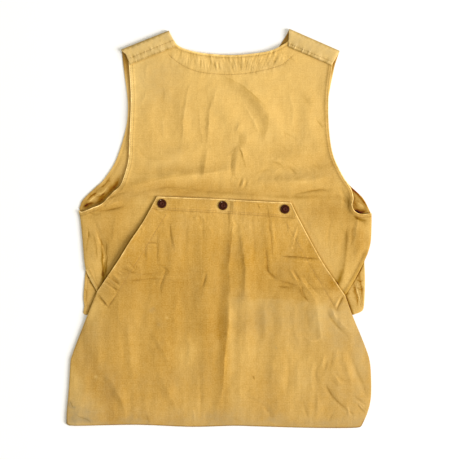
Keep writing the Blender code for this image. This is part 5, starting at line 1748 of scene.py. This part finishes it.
class VEST_OT_stitching(bpy.types.Operator):
    """Sew the rows of stitches along hems, laps, the neck band and the bag's corners"""
    bl_idname = "vest.stitching"
    bl_label = "Stitching"

    def execute(self, context):
        stitching = context.scene.vest_stitching
        cloth = {name: bpy.data.objects[name + "_cloth"]
                 for name in ("back", "bag_outer", "front_left", "front_right")}
        sets = {
            "back_stitching": [(cloth["back"], ROWS["back"], DROP)],
            "bag_stitching": [(cloth["bag_outer"], ROWS["bag_outer"], DROP)],
            "lap_stitching": [(cloth[name], LAP_ROWS[name], DROP) for name in LAP_ROWS],
            "corner_stitching": [(cloth["front_left"], ROWS["front_left"][:1], DROP),
                                 (cloth["front_right"], ROWS["front_right"][:3], DROP)],
            "front_stitching": [(cloth["front_left"], ROWS["front_left"][1:], -DROP),
                                (cloth["front_right"], ROWS["front_right"][3:], -DROP)],
        }
        for name, work in sets.items():
            thread = sew(name, work, stitching)
            thread.data.materials.append(shared("sewing_thread", thread_material, stitching))
            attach(thread, "root")
        return {"FINISHED"}


class VEST_OT_snaps(bpy.types.Operator):
    """Press the three enamelled snap caps from a flat blank"""
    bl_idname = "vest.snaps"
    bl_label = "Snap caps"

    def execute(self, context):
        for node in SNAP_NODES:
            low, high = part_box(node)
            seat = Vector(((low.x + high.x) / 2, (low.y + high.y) / 2, low.z))
            bpy.ops.object.select_all(action="DESELECT")
            first_radius = CAP_PROFILE[0][0] * MM
            bpy.ops.mesh.primitive_circle_add(
                vertices=CAP_SIDES, radius=first_radius, fill_type="NGON", location=seat)
            cap = context.object
            cap.name = node + "_cap"
            bpy.ops.object.mode_set(mode="EDIT")
            bpy.ops.mesh.select_all(action="SELECT")
            for (radius, height), (wider, higher) in zip(CAP_PROFILE, CAP_PROFILE[1:]):
                centre = seat + Vector((0, 0, higher * MM))
                bpy.ops.mesh.extrude_region_move(
                    TRANSFORM_OT_translate={"value": (0, 0, (higher - height) * MM)})
                share = wider / radius
                bpy.ops.transform.resize(value=(share, share, 1), center_override=centre)
            bpy.ops.mesh.select_all(action="SELECT")
            bpy.ops.mesh.remove_doubles(threshold=1e-6)
            bpy.ops.mesh.normals_make_consistent(inside=False)
            bpy.ops.object.mode_set(mode="OBJECT")
            rounded = cap.modifiers.new("rounded", "SUBSURF")
            rounded.levels = rounded.render_levels = 1
            bpy.ops.object.modifier_apply(modifier=rounded.name)
            bpy.ops.object.transform_apply(location=True, rotation=True, scale=True)
            cap.data.shade_smooth()
            self.mark_wear_and_glint(cap, seat)
            cap.data.materials.append(
                shared("cap_enamel", enamel_material, context.scene.vest_snaps))
            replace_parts(cap, node)
            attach(cap, "root")
        return {"FINISHED"}

    def mark_wear_and_glint(self, cap, seat):
        """Store how much each point of the cap stands out to be rubbed, and where the caps on the
        left get a painted highlight spot on the rim.
        """
        layer = cap.data.attributes.new("rubbed", "FLOAT", "POINT")
        for vertex, value in zip(cap.data.vertices, layer.data):
            place = (vertex.co - seat).xy
            wear = sum((share * math.exp(-((place.length / MM - radius) / width) ** 2)
                        for share, radius, width in CAP_RINGS), CAP_WEAR)
            # A painted highlight spot on the upper left of the rims of the caps on the left
            if vertex.co.x < GLINT_UP_TO:
                glint = (place - Vector(CAP_GLINT) * MM).length / MM
                wear += GLINT_STRENGTH * math.exp(-(glint / GLINT_REACH) ** 2)
            value.value = wear


class VEST_OT_studio(bpy.types.Operator):
    """Set up the floor, the soft light and the camera straight above the vest"""
    bl_idname = "vest.studio"
    bl_label = "Studio"

    def execute(self, context):
        studio = context.scene.vest_studio
        bpy.ops.object.select_all(action="DESELECT")
        bpy.ops.mesh.primitive_plane_add(size=FLOOR_SIDE, location=(0, 0, -FLOOR_DROP))
        floor = context.object
        floor.name = floor.data.name = "floor"
        material, tree, shader = new_material("pale_floor")
        place = add_node(tree, "TexCoord").outputs["Object"]
        pale, dim = ((*[part * share for part in studio.floor_colour], 1)
                     for share in (1, 0.985))
        wire(tree, shader, {
            "Base Color": mixed(tree, noise_node(tree, place, 3.0)[0], pale, dim),
            "Roughness": 0.9, "Specular IOR Level": 0.1})
        floor.data.materials.append(material)

        world = bpy.data.worlds.new("even_sky")
        world.use_nodes = True
        wire(world.node_tree, world.node_tree.nodes["Background"],
             {"Color": SKY_COLOUR, "Strength": studio.sky})
        context.scene.world = world

        for name, place, size, share, colour in LIGHTS:
            light = bpy.data.lights.new(name, "AREA")
            light.energy = studio.key * share
            light.size = size
            light.color = colour
            lamp = bpy.data.objects.new(name, light)
            lamp.location = place
            lamp.rotation_euler = (-Vector(place)).to_track_quat("-Z", "Y").to_euler()
            context.scene.collection.objects.link(lamp)

        camera = bpy.data.cameras.new("camera")
        camera.sensor_width = SENSOR
        camera.lens = camera.sensor_width * studio.camera_height / studio.field
        camera.clip_end = 50
        seen = bpy.data.objects.new("camera", camera)
        seen.location = (*CAMERA_MIDDLE, studio.camera_height)
        context.scene.collection.objects.link(seen)
        context.scene.camera = seen
        context.scene.view_settings.view_transform = "Standard"
        return {"FINISHED"}


class VEST_PT_panel(bpy.types.Panel):
    """Lists the pieces of the vest and their settings"""
    bl_label = "Canvas vest"
    bl_idname = "VEST_PT_panel"
    bl_space_type = "VIEW_3D"
    bl_region_type = "UI"
    bl_category = "Vest"

    def draw(self, context):
        layout = self.layout
        for settings in SETTINGS:
            group = getattr(context.scene, settings)
            box = layout.box()
            for name in group.bl_rna.properties.keys():
                if name not in ("rna_type", "name"):
                    box.prop(group, name)
        for operator in PIECES:
            layout.operator(operator.bl_idname)


SETTINGS = {"vest_cloth": VestCloth, "vest_stitching": VestStitching, "vest_snaps": VestSnaps,
            "vest_studio": VestStudio}
PIECES = (VEST_OT_fronts, VEST_OT_facing, VEST_OT_back, VEST_OT_bag, VEST_OT_stitching,
          VEST_OT_snaps, VEST_OT_studio)
GROUP_MAKERS = (make_weave_group, make_streak_group, make_crumple_group,
                make_cloth_colour_group, make_edge_wear_group)


def register():
    for kind in (*SETTINGS.values(), *PIECES, VEST_PT_panel):
        bpy.utils.register_class(kind)
    for name, kind in SETTINGS.items():
        setattr(bpy.types.Scene, name, bpy.props.PointerProperty(type=kind))


def unregister():
    for name in SETTINGS:
        delattr(bpy.types.Scene, name)
    for kind in reversed((*SETTINGS.values(), *PIECES, VEST_PT_panel)):
        bpy.utils.unregister_class(kind)


def main():
    register()
    for make in GROUP_MAKERS:
        make()
    for operator in PIECES:
        family, name = operator.bl_idname.split(".")
        getattr(getattr(bpy.ops, family), name)()


if __name__ == "__main__":
    main()
